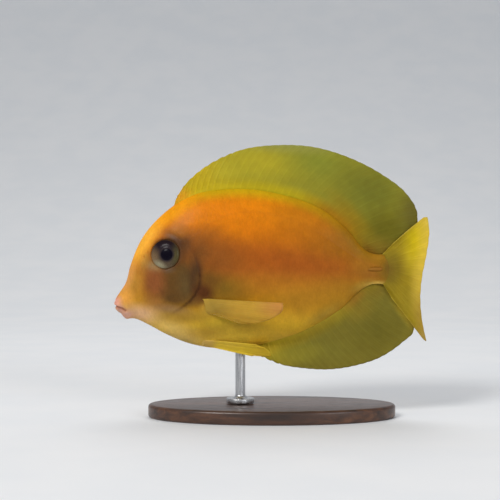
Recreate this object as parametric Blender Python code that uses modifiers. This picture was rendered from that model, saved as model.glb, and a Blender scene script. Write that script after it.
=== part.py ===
# A young chocolate surgeonfish in its orange and yellow dress, life size, on a plain display stand.
# The fish faces -X with its left flank at -Y, and +Z is up. Sizes are written in millimetres and turned
# into metres by MM. On the fish, x runs back from the tip of the snout and z up from the body's axis.
import math

import bmesh
import bpy
from mathutils import Matrix, Vector

MM = 0.001
GAP = 0.3  # kept between pieces that touch

TOTAL_LENGTH = 94.02  # snout to the tips of the tail fin
AXIS_HEIGHT = 44.0  # the body's axis above the floor

# Tail end of the body: it swings a little to the fish's left
BEND_START = 58.0
BEND_AT_TAIL = 2.4

# Each row crosses the body: the back's x and z, the belly's x and z, and the half width there
BODY_ROWS = (
    (0.0, -9.8, 1.8, -12.9, 1.1),
    (0.3, -8.4, 2.7, -14.1, 1.7),
    (1.1, -7.2, 3.5, -14.7, 1.9),
    (2.0, -5.9, 4.5, -14.5, 1.7),
    (3.1, -4.2, 5.8, -14.5, 2.3),
    (4.6, 1.2, 9.6, -16.1, 3.3),
    (8.3, 9.8, 15.0, -19.0, 4.8),
    (15.6, 17.8, 22.0, -21.9, 6.2),
    (24.0, 22.9, 29.1, -23.3, 6.9),
    (35.0, 24.6, 36.9, -23.2, 6.8),
    (48.9, 23.2, 48.0, -21.3, 5.8),
    (61.5, 18.6, 59.4, -17.1, 4.2),
    (70.3, 11.6, 68.4, -11.2, 2.6),
    (75.4, 5.7, 75.0, -5.0, 1.75),
    (78.3, 4.6, 78.0, -4.0, 1.5),
    (81.3, 4.9, 81.3, -4.4, 1.2),
)
BODY_RINGS = 52
RING_CROWDING = 1.3  # above 1 packs the rings towards the snout
SIDE_POINTS = 19  # from back to belly, on each side
BACK_EDGE = 0.42  # half width of the flat strip that carries the fins
BACK_SLIMNESS = 1.3  # 1 is a plain oval, more pinches the edge
BELLY_SLIMNESS = 1.12

# Eye, seen from the side
EYE_X, EYE_Z = 15.4, 4.8
EYE_RADIUS = 4.4
EYE_BULGE = 1.45
EYE_DEPTH = 2.3
EYE_SINK = 0.55
RIM_RADIUS = 4.75
RIM_THICKNESS = 0.5

NOSTRILS = ((8.9, 4.0, 0.38), (10.1, 5.3, 0.48))  # x, z and radius
NOSTRIL_DEPTH = 0.6

# Lines, as x and z, along which the body is parted
HEAD_LINE = (
    (17.6, 25.0),
    (18.7, 17.0),
    (21.4, 9.5),
    (24.1, 4.2),
    (25.5, -0.6),
    (25.3, -4.8),
    (23.1, -8.5),
    (19.8, -11.2),
    (17.4, -13.6),
    (16.6, -17.0),
    (16.6, -27.0),
)
CHEEK_LINE = (
    (21.9, 6.6),
    (21.3, 3.4),
    (21.2, -1.0),
    (20.0, -5.0),
    (17.2, -8.1),
    (14.2, -10.2),
    (13.1, -11.6),
    (13.4, -13.0),
)
MOUTH_LINE = (
    (-3.0, -9.6),
    (0.8, -11.0),
    (3.4, -11.9),
    (4.1, -12.9),
    (4.9, -18.0),
)
STALK_LINE = ((74.1, 30.0), (74.5, 4.0), (74.5, -4.0), (74.1, -30.0))
GILL_COVER_INNER = 3.6  # distance of its flat inner face from the middle plane
GILL_COVER_TOP = 6.6
GILL_COVER_FOOT = -13.7
BLOCK_REACH = 40.0  # cutters run this far past the body

# Fins. A row holds a ray's root and its tip
DORSAL_ROWS = (  # root x, tip x, tip z, and how far the tip leans to the fish's right
    (19.6, 21.0, 24.3, 0.0),
    (22.6, 25.2, 29.6, 0.0),
    (27.0, 31.0, 33.3, 0.0),
    (32.8, 38.8, 36.3, 0.0),
    (40.6, 49.2, 37.5, 0.0),
    (48.6, 59.6, 36.9, 0.0),
    (56.2, 69.6, 34.0, 0.0),
    (63.0, 79.6, 28.9, 0.0),
    (68.3, 87.4, 22.7, 0.3),
    (71.6, 90.5, 17.3, 0.9),
    (73.4, 90.3, 12.6, 1.5),
    (74.9, 87.2, 8.2, 1.6),
    (76.4, 83.0, 4.9, 1.5),
)
DORSAL_RAYS = 36
DORSAL_SPINES = 8
DORSAL_BOW = (-0.045, 0, 0.045)
ANAL_ROWS = (
    (43.0, 43.9, -25.6, 0.0),
    (46.0, 49.0, -27.8, 0.0),
    (51.0, 56.8, -29.3, 0.0),
    (56.2, 64.4, -29.5, 0.0),
    (61.4, 72.2, -28.2, 0.0),
    (66.2, 79.4, -25.7, 0.0),
    (70.2, 86.0, -21.6, 0.4),
    (72.6, 89.9, -18.6, 1.0),
    (74.2, 88.8, -14.0, 1.5),
    (75.6, 85.6, -9.4, 1.6),
    (76.8, 82.6, -5.2, 1.5),
)
ANAL_RAYS = 27
ANAL_SPINES = 3
ANAL_BOW = (-0.035, 0, -0.045)
TAIL_MARGIN = (  # x and z along the rear edge, from the upper tip to the lower
    (93.4, 15.9),
    (93.95, 12.8),
    (93.2, 5.0),
    (91.8, -2.2),
    (91.35, -9.0),
    (91.9, -15.4),
    (93.1, -21.3),
)
TAIL_ROOT_X, TAIL_ROOT_BULGE = 81.5, 0.4
TAIL_ROOT_TOP, TAIL_ROOT_FOOT = 4.9, -4.4
TAIL_SHORT_RAYS_ABOVE = (  # root x and z, tip x and z
    (80.7, 5.3, 83.2, 7.9),
    (81.15, 5.12, 87.9, 11.6),
    (81.4, 4.98, 92.6, 15.6),
)
TAIL_SHORT_RAYS_BELOW = (
    (81.4, -4.5, 92.4, -20.9),
    (81.1, -4.65, 87.3, -14.1),
    (80.7, -4.8, 82.9, -8.4),
)
TAIL_RAYS = 20
PECTORAL_ROWS = (  # root x, distance from the middle and z, then the same for the tip
    (26.5, 6.0, -7.4, 50.2, 13.4, -9.7),
    (26.9, 5.95, -8.7, 49.9, 12.6, -11.8),
    (27.3, 5.85, -10.0, 47.4, 11.6, -13.7),
    (27.6, 5.7, -11.2, 43.4, 10.4, -15.1),
    (27.7, 5.5, -12.3, 37.8, 9.0, -15.6),
)
PECTORAL_RAYS = 15
PECTORAL_BOW = 0.05  # share of its length that the fin bows outwards
PELVIC_ROWS = (
    (27.3, 1.15, -22.55, 41.0, 3.3, -25.5),
    (27.7, 1.75, -22.0, 46.8, 4.1, -25.1),
    (28.0, 2.3, -21.4, 45.8, 4.9, -23.6),
    (28.3, 2.85, -20.8, 42.2, 5.7, -21.9),
)
PELVIC_RAYS = 6
PELVIC_BOW = 0.03

FIN_ROOT_HALF = 0.42  # half thickness of the web at the root
FIN_EDGE_HALF = 0.26  # and at the outer margin
RAY_RIDGE = 0.16  # a soft ray stands this far out of the web on each side
SPINE_RIDGE = 0.24
RAY_SHARE = 0.3  # of the spacing between rays, each side of a ray's crest
SPINE_NOTCH = 0.9  # the web falls this far back between two spine tips
RAY_NOTCH = 0.3
POCKET_LENGTH = 4.0  # the pockets that hold the paired fins' roots run this far out along the fin

# The blade on each side of the tail stalk, its point forward
BLADE_TIP_X, BLADE_ROOT_X = 75.6, 79.9
BLADE_Z = 0.3
BLADE_HEIGHT = 1.15
BLADE_THICKNESS = 0.62
BLADE_LIFT = 4.0  # degrees that its point stands away from the skin

# Stand
ROD_X = 37.6
ROD_RADIUS = 1.5
ROD_SINK = 3.0
COLLAR_RADIUS = 4.2
COLLAR_HEIGHT = 1.4
BASE_LENGTH, BASE_WIDTH, BASE_THICKNESS = 74.0, 38.0, 4.0
BASE_EDGE = 0.8
ROUND_STEPS = 32

COLOURS = {  # colour, roughness, metallic
    "skin": ((0.80, 0.36, 0.05, 1.0), 0.45, 0.0),
    "cheek": ((0.42, 0.25, 0.10, 1.0), 0.45, 0.0),
    "fin": ((0.38, 0.34, 0.07, 1.0), 0.5, 0.0),
    "tail": ((0.62, 0.48, 0.06, 1.0), 0.5, 0.0),
    "paired_fin": ((0.60, 0.44, 0.12, 1.0), 0.5, 0.0),
    "eye": ((0.10, 0.08, 0.09, 1.0), 0.1, 0.0),
    "blade": ((0.78, 0.66, 0.46, 1.0), 0.4, 0.0),
    "wood": ((0.10, 0.055, 0.03, 1.0), 0.45, 0.0),
    "steel": ((0.62, 0.62, 0.63, 1.0), 0.3, 1.0),
}


class SmoothRows:
    """A curve through rows of numbers, run evenly by the distance from row to row."""

    def __init__(self, rows, straight=False):
        self.straight = straight  # straight runs from row to row in place of a smooth curve
        self.rows = [tuple(row) for row in rows]
        self.knots = [0.0]
        for before, after in zip(self.rows, self.rows[1:]):
            self.knots.append(self.knots[-1] + math.dist(before, after))

    def slope(self, i, column):
        last = len(self.rows) - 1
        a, b = max(i - 1, 0), min(i + 1, last)
        if a == i or b == i:
            return (self.rows[b][column] - self.rows[a][column]) / (self.knots[b] - self.knots[a])
        before, after = self.knots[i] - self.knots[a], self.knots[b] - self.knots[i]
        rise_before = (self.rows[i][column] - self.rows[a][column]) / before
        rise_after = (self.rows[b][column] - self.rows[i][column]) / after
        return (rise_before * after + rise_after * before) / (before + after)

    def at(self, share):
        """The row at this share of the whole length, from 0 to 1."""
        place = min(max(share, 0.0), 1.0) * self.knots[-1]
        i = max(k for k in range(len(self.rows) - 1) if self.knots[k] <= place)
        span = self.knots[i + 1] - self.knots[i]
        t = (place - self.knots[i]) / span
        if self.straight:
            return [a + (b - a) * t for a, b in zip(self.rows[i], self.rows[i + 1])]
        start, end = 2 * t**3 - 3 * t**2 + 1, 3 * t**2 - 2 * t**3
        leave, arrive = (t**3 - 2 * t**2 + t) * span, (t**3 - t**2) * span
        return [
            start * self.rows[i][c]
            + end * self.rows[i + 1][c]
            + leave * self.slope(i, c)
            + arrive * self.slope(i + 1, c)
            for c in range(len(self.rows[0]))
        ]


BODY = SmoothRows(BODY_ROWS)


def placed(point):
    """A point of the fish in the model's frame, in metres, with the tail's swing."""
    x, y, z = point
    past = max(x - BEND_START, 0.0) / (TOTAL_LENGTH - BEND_START)
    swing = -BEND_AT_TAIL * past**2
    return Vector((x - TOTAL_LENGTH / 2, y + swing, z + AXIS_HEIGHT)) * MM


def section_width(share, height):
    """Half width of the body at a share of its length; height runs from -1, belly, to 1, back."""
    half_width = BODY.at(share)[4]
    slimness = BACK_SLIMNESS if height > 0 else BELLY_SLIMNESS
    round_off = max(1.0 - height**2, 0.0) ** (slimness / 2)
    return BACK_EDGE + (half_width - BACK_EDGE) * round_off


def section_at(x, z):
    """Share of the body's length, and height on that section, of a point seen from the side."""
    low, high = 0.0, 1.0
    for _ in range(40):
        share = (low + high) / 2
        top_x, top_z, low_x, low_z, _half = BODY.at(share)
        ahead = (x - low_x) * (top_z - low_z) - (z - low_z) * (top_x - low_x)
        low, high = (share, high) if ahead > 0 else (low, share)
    centre = Vector(((top_x + low_x) / 2, (top_z + low_z) / 2))
    reach = Vector((top_x - low_x, top_z - low_z)) / 2
    return share, (Vector((x, z)) - centre).dot(reach) / reach.length_squared


def flank(x, z):
    """Half width of the body at a point seen from the side, and 0 outside its outline."""
    share, height = section_at(x, z)
    return section_width(share, height) if abs(height) < 1 else 0.0


def flank_normal(x, z):
    """Outward direction of the right flank at a point seen from the side."""
    step = 0.5
    along = (flank(x + step, z) - flank(x - step, z)) / (2 * step)
    up = (flank(x, z + step) - flank(x, z - step)) / (2 * step)
    return Vector((-along, 1.0, -up)).normalized()


def edge_height(x, side):
    """Height of the back's edge (side 1) or the belly's (side -1) at x."""
    low, high = 0.0, 1.0
    column = 0 if side > 0 else 2
    for _ in range(40):
        share = (low + high) / 2
        low, high = (share, high) if BODY.at(share)[column] < x else (low, share)
    return BODY.at(share)[column + 1]


def mirrored(point, side):
    return Vector((point[0], point[1] * side, point[2]))


def material(name):
    """The finish called name, made once."""
    made = bpy.data.materials.get(name)
    if made is None:
        colour, roughness, metallic = COLOURS[name]
        made = bpy.data.materials.new(name)
        made.use_nodes = True
        made.diffuse_color = colour
        shader = made.node_tree.nodes["Principled BSDF"]
        shader.inputs["Base Color"].default_value = colour
        shader.inputs["Roughness"].default_value = roughness
        shader.inputs["Metallic"].default_value = metallic
    return made


def clear_scene():
    for obj in list(bpy.data.objects):
        bpy.data.objects.remove(obj)


def new_collection(name):
    made = bpy.data.collections.new(name)
    bpy.context.scene.collection.children.link(made)
    return made


def object_from(bm, name, collection):
    """An object whose mesh is what bm holds, with its faces turned outwards."""
    bmesh.ops.recalc_face_normals(bm, faces=bm.faces)
    mesh = bpy.data.meshes.new(name)
    bm.to_mesh(mesh)
    bm.free()
    obj = bpy.data.objects.new(name, mesh)
    collection.objects.link(obj)
    return obj


def finish(obj, finish_name, parts, smooth_angle=40):
    """Moves a finished node to the parts and gives it its material and shading."""
    for collection in list(obj.users_collection):
        collection.objects.unlink(obj)
    parts.objects.link(obj)
    obj.data.materials.clear()
    obj.data.materials.append(material(finish_name))
    obj.data.shade_smooth()
    obj.data.set_sharp_from_angle(angle=math.radians(smooth_angle))
    return obj


def applied(obj):
    """Puts the object's modifiers into its mesh."""
    graph = bpy.context.evaluated_depsgraph_get()
    graph.update()
    mesh = bpy.data.meshes.new_from_object(obj.evaluated_get(graph))
    mesh.name = obj.name
    obj.modifiers.clear()
    obj.data = mesh
    return obj


def boolean(obj, operation, other):
    """Cuts obj by other, joins it to other or keeps what they share."""
    step = obj.modifiers.new(operation.lower(), "BOOLEAN")
    step.operation = operation
    step.solver = "EXACT"
    step.object = other
    return applied(obj)


def keep_largest_shell(obj):
    """Drops every closed surface of the mesh but the one with the most volume."""
    bm = bmesh.new()
    bm.from_mesh(obj.data)
    bmesh.ops.remove_doubles(bm, verts=bm.verts, dist=0.002 * MM)
    shells, seen = [], set()
    for first in bm.faces:
        if first in seen:
            continue
        shell, waiting = [], [first]
        seen.add(first)
        while waiting:
            face = waiting.pop()
            shell.append(face)
            for edge in face.edges:
                for other in edge.link_faces:
                    if other not in seen:
                        seen.add(other)
                        waiting.append(other)
        shells.append(shell)

    def volume(shell):
        total = 0.0
        for face in shell:
            a = face.verts[0].co
            for b, c in zip(face.verts[1:], face.verts[2:]):
                total += a.dot(b.co.cross(c.co))
        return abs(total)

    largest = max(shells, key=volume)
    loose = [face for shell in shells if shell is not largest for face in shell]
    bmesh.ops.delete(bm, geom=loose, context="FACES")
    bm.to_mesh(obj.data)
    bm.free()
    return obj


def copy_of(obj, name, collection):
    made = obj.copy()
    made.data = obj.data.copy()
    made.name = name
    made.data.name = name
    collection.objects.link(made)
    return made


def prism(name, outline, low_y, high_y, cutters):
    """A block with this outline, seen from the side, between two distances from the middle plane."""
    bm = bmesh.new()
    corners = [bm.verts.new(placed((x, low_y, z))) for x, z in outline]
    face = bm.faces.new(corners)
    grown = bmesh.ops.extrude_face_region(bm, geom=[face])["geom"]
    moved = [v for v in grown if isinstance(v, bmesh.types.BMVert)]
    bmesh.ops.translate(bm, verts=moved, vec=Vector((0, (high_y - low_y) * MM, 0)))
    block = object_from(bm, name, cutters)
    block.hide_render = True
    block.display_type = "WIRE"
    return block


def shifted_line(line, distance):
    """The line moved sideways by distance, to the left of its run."""
    moved = []
    for i, point in enumerate(line):
        before, after = line[max(i - 1, 0)], line[min(i + 1, len(line) - 1)]
        run = Vector((after[0] - before[0], after[1] - before[1])).normalized()
        moved.append((point[0] - run.y * distance, point[1] + run.x * distance))
    return moved


def rounded_line(line, steps):
    curve = SmoothRows(line)
    return [tuple(curve.at(k / steps)) for k in range(steps + 1)]


def body_ring(share):
    """Points round one section of the body: down the left side from back to belly, then up the right."""
    top_x, top_z, low_x, low_z, _half = BODY.at(share)
    left = []
    for k in range(SIDE_POINTS):
        angle = math.pi * k / (SIDE_POINTS - 1)
        height = math.cos(angle)
        x = (top_x + low_x) / 2 + (top_x - low_x) / 2 * height
        z = (top_z + low_z) / 2 + (top_z - low_z) / 2 * height
        left.append(Vector((x, -section_width(share, height), z)))
    right = [mirrored(point, -1) for point in reversed(left)]
    return left + right


def whole_body(cutters):
    """The body from lips to tail base as one closed loft, before it is parted."""
    bm = bmesh.new()
    rings = []
    for k in range(BODY_RINGS):
        share = (k / (BODY_RINGS - 1)) ** RING_CROWDING
        rings.append([bm.verts.new(placed(point)) for point in body_ring(share)])
    count = len(rings[0])
    for front, back in zip(rings, rings[1:]):
        for i in range(count):
            j = (i + 1) % count
            bm.faces.new((front[i], front[j], back[j], back[i]))
    for ring, bulge in ((rings[0], -0.5), (rings[-1], 0.0)):
        middle = sum((v.co for v in ring), Vector()) / count
        tip = bm.verts.new(middle + Vector((bulge, 0, bulge)) * MM)
        for i in range(count):
            bm.faces.new((ring[i], ring[(i + 1) % count], tip))
    body = object_from(bm, "whole_body", cutters)
    return body


def eye_frame(side):
    """The eye's place on the skin and its axes: z points out of the head."""
    outward = mirrored(flank_normal(EYE_X, EYE_Z), side)
    centre = placed((EYE_X, side * flank(EYE_X, EYE_Z), EYE_Z))
    turn = outward.to_track_quat("Z", "X").to_matrix().to_4x4()
    return Matrix.Translation(centre) @ turn


def eyeball(name, side, grow, collection):
    """A ball flattened outside and deeper inside, sunk a little below the skin."""
    bm = bmesh.new()
    bmesh.ops.create_uvsphere(bm, u_segments=24, v_segments=12, radius=1.0)
    for v in bm.verts:
        depth = EYE_BULGE if v.co.z > 0 else EYE_DEPTH
        v.co.x *= EYE_RADIUS + grow
        v.co.y *= EYE_RADIUS + grow
        v.co.z = v.co.z * (depth + grow) - EYE_SINK
    bmesh.ops.scale(bm, verts=bm.verts, vec=Vector((MM, MM, MM)))
    bmesh.ops.transform(bm, verts=bm.verts, matrix=eye_frame(side))
    return object_from(bm, name, collection)


def eye_rim(side, collection):
    """The raised ring of skin round the eye."""
    bpy.ops.mesh.primitive_torus_add(
        major_segments=24,
        minor_segments=6,
        major_radius=RIM_RADIUS * MM,
        minor_radius=RIM_THICKNESS * MM,
    )
    rim = bpy.context.object
    sunk = Matrix.Translation((0, 0, -0.25 * MM))
    rim.data.transform(eye_frame(side) @ sunk)
    for user in list(rim.users_collection):
        user.objects.unlink(rim)
    collection.objects.link(rim)
    return rim


def nostril(side, x, z, radius, cutters):
    bm = bmesh.new()
    bmesh.ops.create_cone(
        bm,
        cap_ends=True,
        segments=10,
        radius1=radius * MM,
        radius2=radius * 1.2 * MM,
        depth=2 * NOSTRIL_DEPTH * MM,
    )
    outward = mirrored(flank_normal(x, z), side)
    turn = outward.to_track_quat("Z", "X").to_matrix().to_4x4()
    centre = placed((x, side * flank(x, z), z))
    bmesh.ops.transform(bm, verts=bm.verts, matrix=Matrix.Translation(centre) @ turn)
    return object_from(bm, "nostril", cutters)


def joined(obj, others, name, cutters):
    """obj and others fused into one closed body by a single union."""
    group = bpy.data.collections.new(name + "_pieces")
    bpy.context.scene.collection.children.link(group)
    for other in others:
        for user in list(other.users_collection):
            user.objects.unlink(other)
        group.objects.link(other)
    step = obj.modifiers.new("union", "BOOLEAN")
    step.operation = "UNION"
    step.operand_type = "COLLECTION"
    step.solver = "EXACT"
    step.collection = group
    applied(obj)
    for other in others:
        bpy.data.objects.remove(other)
    bpy.data.collections.remove(group)
    return obj


def ahead_of(line, distance, reach):
    """Outline of all that lies ahead of a line which runs from back to belly."""
    edge = shifted_line(line, distance)
    return [(-reach, edge[0][1]), *edge, (-reach, edge[-1][1])]


def part_body(parts, cutters):
    """Head, jaw, gill covers, torso and tail stalk, parted by thin slots."""
    whole = whole_body(cutters)
    half = GAP / 2
    head_line = rounded_line(HEAD_LINE, 26)
    stalk_line = rounded_line(STALK_LINE, 4)
    cheek_line = rounded_line(CHEEK_LINE, 14)
    mouth_line = rounded_line(MOUTH_LINE, 10)

    # Running down a line from back to belly, its left is towards the tail
    front = prism("front", ahead_of(head_line, -half, BLOCK_REACH), -BLOCK_REACH, BLOCK_REACH, cutters)
    front_wide = prism("front_wide", ahead_of(head_line, half, BLOCK_REACH), -BLOCK_REACH, BLOCK_REACH, cutters)
    ahead = prism("ahead", ahead_of(stalk_line, -half, BLOCK_REACH), -BLOCK_REACH, BLOCK_REACH, cutters)
    ahead_wide = prism("ahead_wide", ahead_of(stalk_line, half, BLOCK_REACH), -BLOCK_REACH, BLOCK_REACH, cutters)

    stalk = boolean(copy_of(whole, "tail_stalk", cutters), "DIFFERENCE", ahead_wide)
    torso = boolean(copy_of(whole, "torso", cutters), "INTERSECT", ahead)
    boolean(torso, "DIFFERENCE", front_wide)
    head = boolean(copy_of(whole, "head", cutters), "INTERSECT", front)

    # The jaw lies below the mouth line and ahead of its hinge
    def below_mouth(distance):
        edge = shifted_line(mouth_line, distance)
        return [*edge, (edge[-1][0] - 12, edge[-1][1]), (edge[0][0] - 6, edge[0][1] - 1)]

    jaw_block = prism("jaw_block", below_mouth(-half), -BLOCK_REACH, BLOCK_REACH, cutters)
    jaw_room = prism("jaw_room", below_mouth(half), -BLOCK_REACH, BLOCK_REACH, cutters)
    jaw = boolean(copy_of(head, "lower_jaw", cutters), "INTERSECT", jaw_block)
    boolean(head, "DIFFERENCE", jaw_room)

    # A gill cover is what lies behind the cheek line, down to a flat inner face
    def behind_cheek(distance):
        edge = shifted_line(cheek_line, distance)
        foot = GILL_COVER_FOOT + distance
        top = GILL_COVER_TOP - distance
        return [(BLOCK_REACH, top), (edge[0][0], top), *edge[1:], (edge[-1][0] + 1.2, foot), (BLOCK_REACH, foot)]

    covers = []
    for side, name in ((-1, "gill_cover_left"), (1, "gill_cover_right")):
        inner = side * GILL_COVER_INNER
        outer = side * BLOCK_REACH
        low, high = sorted((inner, outer))
        block = prism("cover_block", behind_cheek(0.0), low, high, cutters)
        cover = boolean(copy_of(head, name, cutters), "INTERSECT", block)
        low, high = sorted((inner - side * GAP, outer))
        room = prism("cover_room", behind_cheek(-GAP), low, high, cutters)
        boolean(head, "DIFFERENCE", room)
        covers.append(cover)

    joined(head, [eye_rim(side, cutters) for side in (-1, 1)], "head", cutters)
    for side in (-1, 1):
        boolean(head, "DIFFERENCE", eyeball("socket", side, GAP, cutters))
        for x, z, radius in NOSTRILS:
            boolean(head, "DIFFERENCE", nostril(side, x, z, radius, cutters))
    return head, jaw, covers, torso, stalk


class FinSheet:
    """The middle sheet of a fin. Each row holds a ray's root (x, y, z) and its tip (x, y, z)."""

    def __init__(self, rows, bow=(0, 0, 0), straight=False):
        self.line = SmoothRows(rows, straight)
        self.bow = Vector(bow)  # how far rays bow sideways, as a share of their length

    def point(self, share, out):
        """A point on the ray at this share of the fin's root, and out along it, from 0 to 1."""
        row = self.line.at(share)
        root, tip = Vector(row[:3]), Vector(row[3:])
        run = tip - root
        return root + run * out + self.bow * (run.length * 4 * out * (1 - out))

    def length(self, share):
        return (self.point(share, 1) - self.point(share, 0)).length

    def facing(self, share, out):
        """Unit direction square to the sheet."""
        step = 0.004
        across = self.point(min(share + step, 1), out) - self.point(max(share - step, 0), out)
        along = self.point(share, min(out + 0.05, 1)) - self.point(share, max(out - 0.05, 0))
        return across.cross(along).normalized()


def stitched(name, columns, collection):
    """A closed slab from columns of (near point, far point) pairs; both its faces are split alike."""
    bm = bmesh.new()
    near = [[bm.verts.new(placed(pair[0])) for pair in column] for column in columns]
    far = [[bm.verts.new(placed(pair[1])) for pair in column] for column in columns]
    levels = len(columns[0]) - 1
    for i in range(len(columns) - 1):
        for k in range(levels):
            for face, turn in ((near, 1), (far, -1)):
                a, b, c, d = face[i][k], face[i + 1][k], face[i + 1][k + 1], face[i][k + 1]
                bm.faces.new((a, b, c)[::turn])
                bm.faces.new((a, c, d)[::turn])
        for k in (0, levels):
            bm.faces.new((near[i][k], near[i + 1][k], far[i + 1][k], far[i][k]))
    for i in (0, len(columns) - 1):
        for k in range(levels):
            bm.faces.new((near[i][k], near[i][k + 1], far[i][k + 1], far[i][k]))
    bmesh.ops.triangulate(bm, faces=[face for face in bm.faces if len(face.verts) > 3])
    return object_from(bm, name, collection)


def fin_solid(name, sheet, rays, collection, spines=0, levels=5):
    """A thin fin whose rays stand out as ridges on both faces, with the web notched between their tips."""
    step = 1 / (rays - 1)
    stops = []
    for ray in range(rays):
        stops.append((ray * step, ray, 1.0))
        if ray < rays - 1:
            stops.append(((ray + RAY_SHARE) * step, ray, 0.0))
            stops.append(((ray + 1 - RAY_SHARE) * step, ray, 0.0))
    columns = []
    for share, ray, crest in stops:
        notch = SPINE_NOTCH if ray < spines else RAY_NOTCH
        reach = 1.0 if crest else max(1.0 - notch / sheet.length(share), 0.75)
        ridge = (SPINE_RIDGE if ray < spines else RAY_RIDGE) * crest
        column = []
        for level in range(levels + 1):
            out = reach * level / levels
            half = FIN_ROOT_HALF + (FIN_EDGE_HALF - FIN_ROOT_HALF) * out + ridge * (1 - 0.6 * out)
            middle, facing = sheet.point(share, out), sheet.facing(share, out)
            column.append((middle + facing * half, middle - facing * half))
        columns.append(column)
    return stitched(name, columns, collection)


def root_pocket(sheet, cutters):
    """The room that a fin's root needs in the body: the root itself, grown by the gap."""
    half = FIN_ROOT_HALF + RAY_RIDGE + GAP
    columns = []
    for share, aside in ((0, 1), (0, 0), (0.33, 0), (0.67, 0), (1, 0), (1, 1)):
        column = []
        for out_length in (-GAP, POCKET_LENGTH / 2, POCKET_LENGTH):
            out = out_length / sheet.length(share)
            middle = sheet.point(share, out)
            facing = sheet.facing(share, max(out, 0))
            inner = sheet.point(abs(share - 0.04), out)
            middle += (middle - inner).normalized() * GAP * aside
            column.append((middle + facing * half, middle - facing * half))
        columns.append(column)
    return stitched("pocket", columns, cutters)


def median_rows(rows, side):
    """Rows of a fin on the middle plane, with each root just clear of the body's edge."""
    return [
        (root_x, 0.0, edge_height(root_x, side) + side * GAP, tip_x, lean, tip_z)
        for root_x, tip_x, tip_z, lean in rows
    ]


def tail_rows():
    """Rows of the tail fin: short rays at its upper and lower edges, and long ones to the rear edge."""
    margin = SmoothRows(TAIL_MARGIN)
    steps = 14
    rows = list(TAIL_SHORT_RAYS_ABOVE)
    for k in range(steps + 1):
        share = k / steps
        root_x = TAIL_ROOT_X + TAIL_ROOT_BULGE * 4 * share * (1 - share)
        root_z = TAIL_ROOT_TOP + (TAIL_ROOT_FOOT - TAIL_ROOT_TOP) * share
        rows.append((root_x, root_z, *margin.at(share)))
    rows.extend(TAIL_SHORT_RAYS_BELOW)
    return [(root_x, 0.0, root_z, tip_x, 0.0, tip_z) for root_x, root_z, tip_x, tip_z in rows]


def paired_rows(rows, side):
    """Rows of a fin on one flank, each root sunk into the body."""
    made = []
    for root_x, root_y, root_z, tip_x, tip_y, tip_z in rows:
        root, tip = Vector((root_x, root_y, root_z)), Vector((tip_x, tip_y, tip_z))
        made.append((*mirrored(root, side), *mirrored(tip, side)))
    return made


def tail_blade(name, side, grow, collection):
    """The blade that folds forward along the tail stalk, as a slim pointed wedge."""
    bm = bmesh.new()
    steps = 6
    rings = []
    for k in range(steps + 1):
        share = k / steps
        x = BLADE_TIP_X + (BLADE_ROOT_X - BLADE_TIP_X) * share
        fullness = math.sin(math.pi * (0.08 + 0.62 * share)) ** 0.8
        high = BLADE_HEIGHT / 2 * fullness + grow
        thick = BLADE_THICKNESS / 2 * (0.45 + 0.55 * fullness) + grow
        if grow:
            x += grow * (2 * share - 1) * 1.2
        lift = math.tan(math.radians(BLADE_LIFT)) * (BLADE_ROOT_X - x)
        y = side * (flank(x, BLADE_Z) + 0.02 + lift)
        ring = []
        for corner in range(8):
            angle = 2 * math.pi * (corner + 0.5) / 8
            ring.append(bm.verts.new(placed((x, y + thick * math.cos(angle), BLADE_Z + high * math.sin(angle)))))
        rings.append(ring)
    for a, b in zip(rings, rings[1:]):
        for i in range(8):
            j = (i + 1) % 8
            bm.faces.new((a[i], a[j], b[j], b[i]))
    bm.faces.new(rings[0])
    bm.faces.new(rings[-1])
    return object_from(bm, name, collection)


def make_median_fins(parts):
    """The fins on the back and belly, and the tail fin."""
    dorsal = FinSheet(median_rows(DORSAL_ROWS, 1), DORSAL_BOW)
    finish(fin_solid("dorsal_fin", dorsal, DORSAL_RAYS, parts, spines=DORSAL_SPINES), "fin", parts)
    anal = FinSheet(median_rows(ANAL_ROWS, -1), ANAL_BOW)
    finish(fin_solid("anal_fin", anal, ANAL_RAYS, parts, spines=ANAL_SPINES), "fin", parts)
    tail = FinSheet(tail_rows(), straight=True)
    finish(fin_solid("tail_fin", tail, TAIL_RAYS, parts), "tail", parts)


def make_paired_fins(parts, cutters, torso):
    """Pectoral and pelvic fins, each set in a pocket of the torso."""
    for side, word in ((-1, "left"), (1, "right")):
        for name, rows, rays, bow in (
            ("pectoral_fin_", PECTORAL_ROWS, PECTORAL_RAYS, PECTORAL_BOW),
            ("pelvic_fin_", PELVIC_ROWS, PELVIC_RAYS, PELVIC_BOW),
        ):
            sheet = FinSheet(paired_rows(rows, side), (0, side * bow, 0))
            finish(fin_solid(name + word, sheet, rays, parts, levels=4), "paired_fin", parts)
            boolean(torso, "DIFFERENCE", root_pocket(sheet, cutters))


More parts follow.
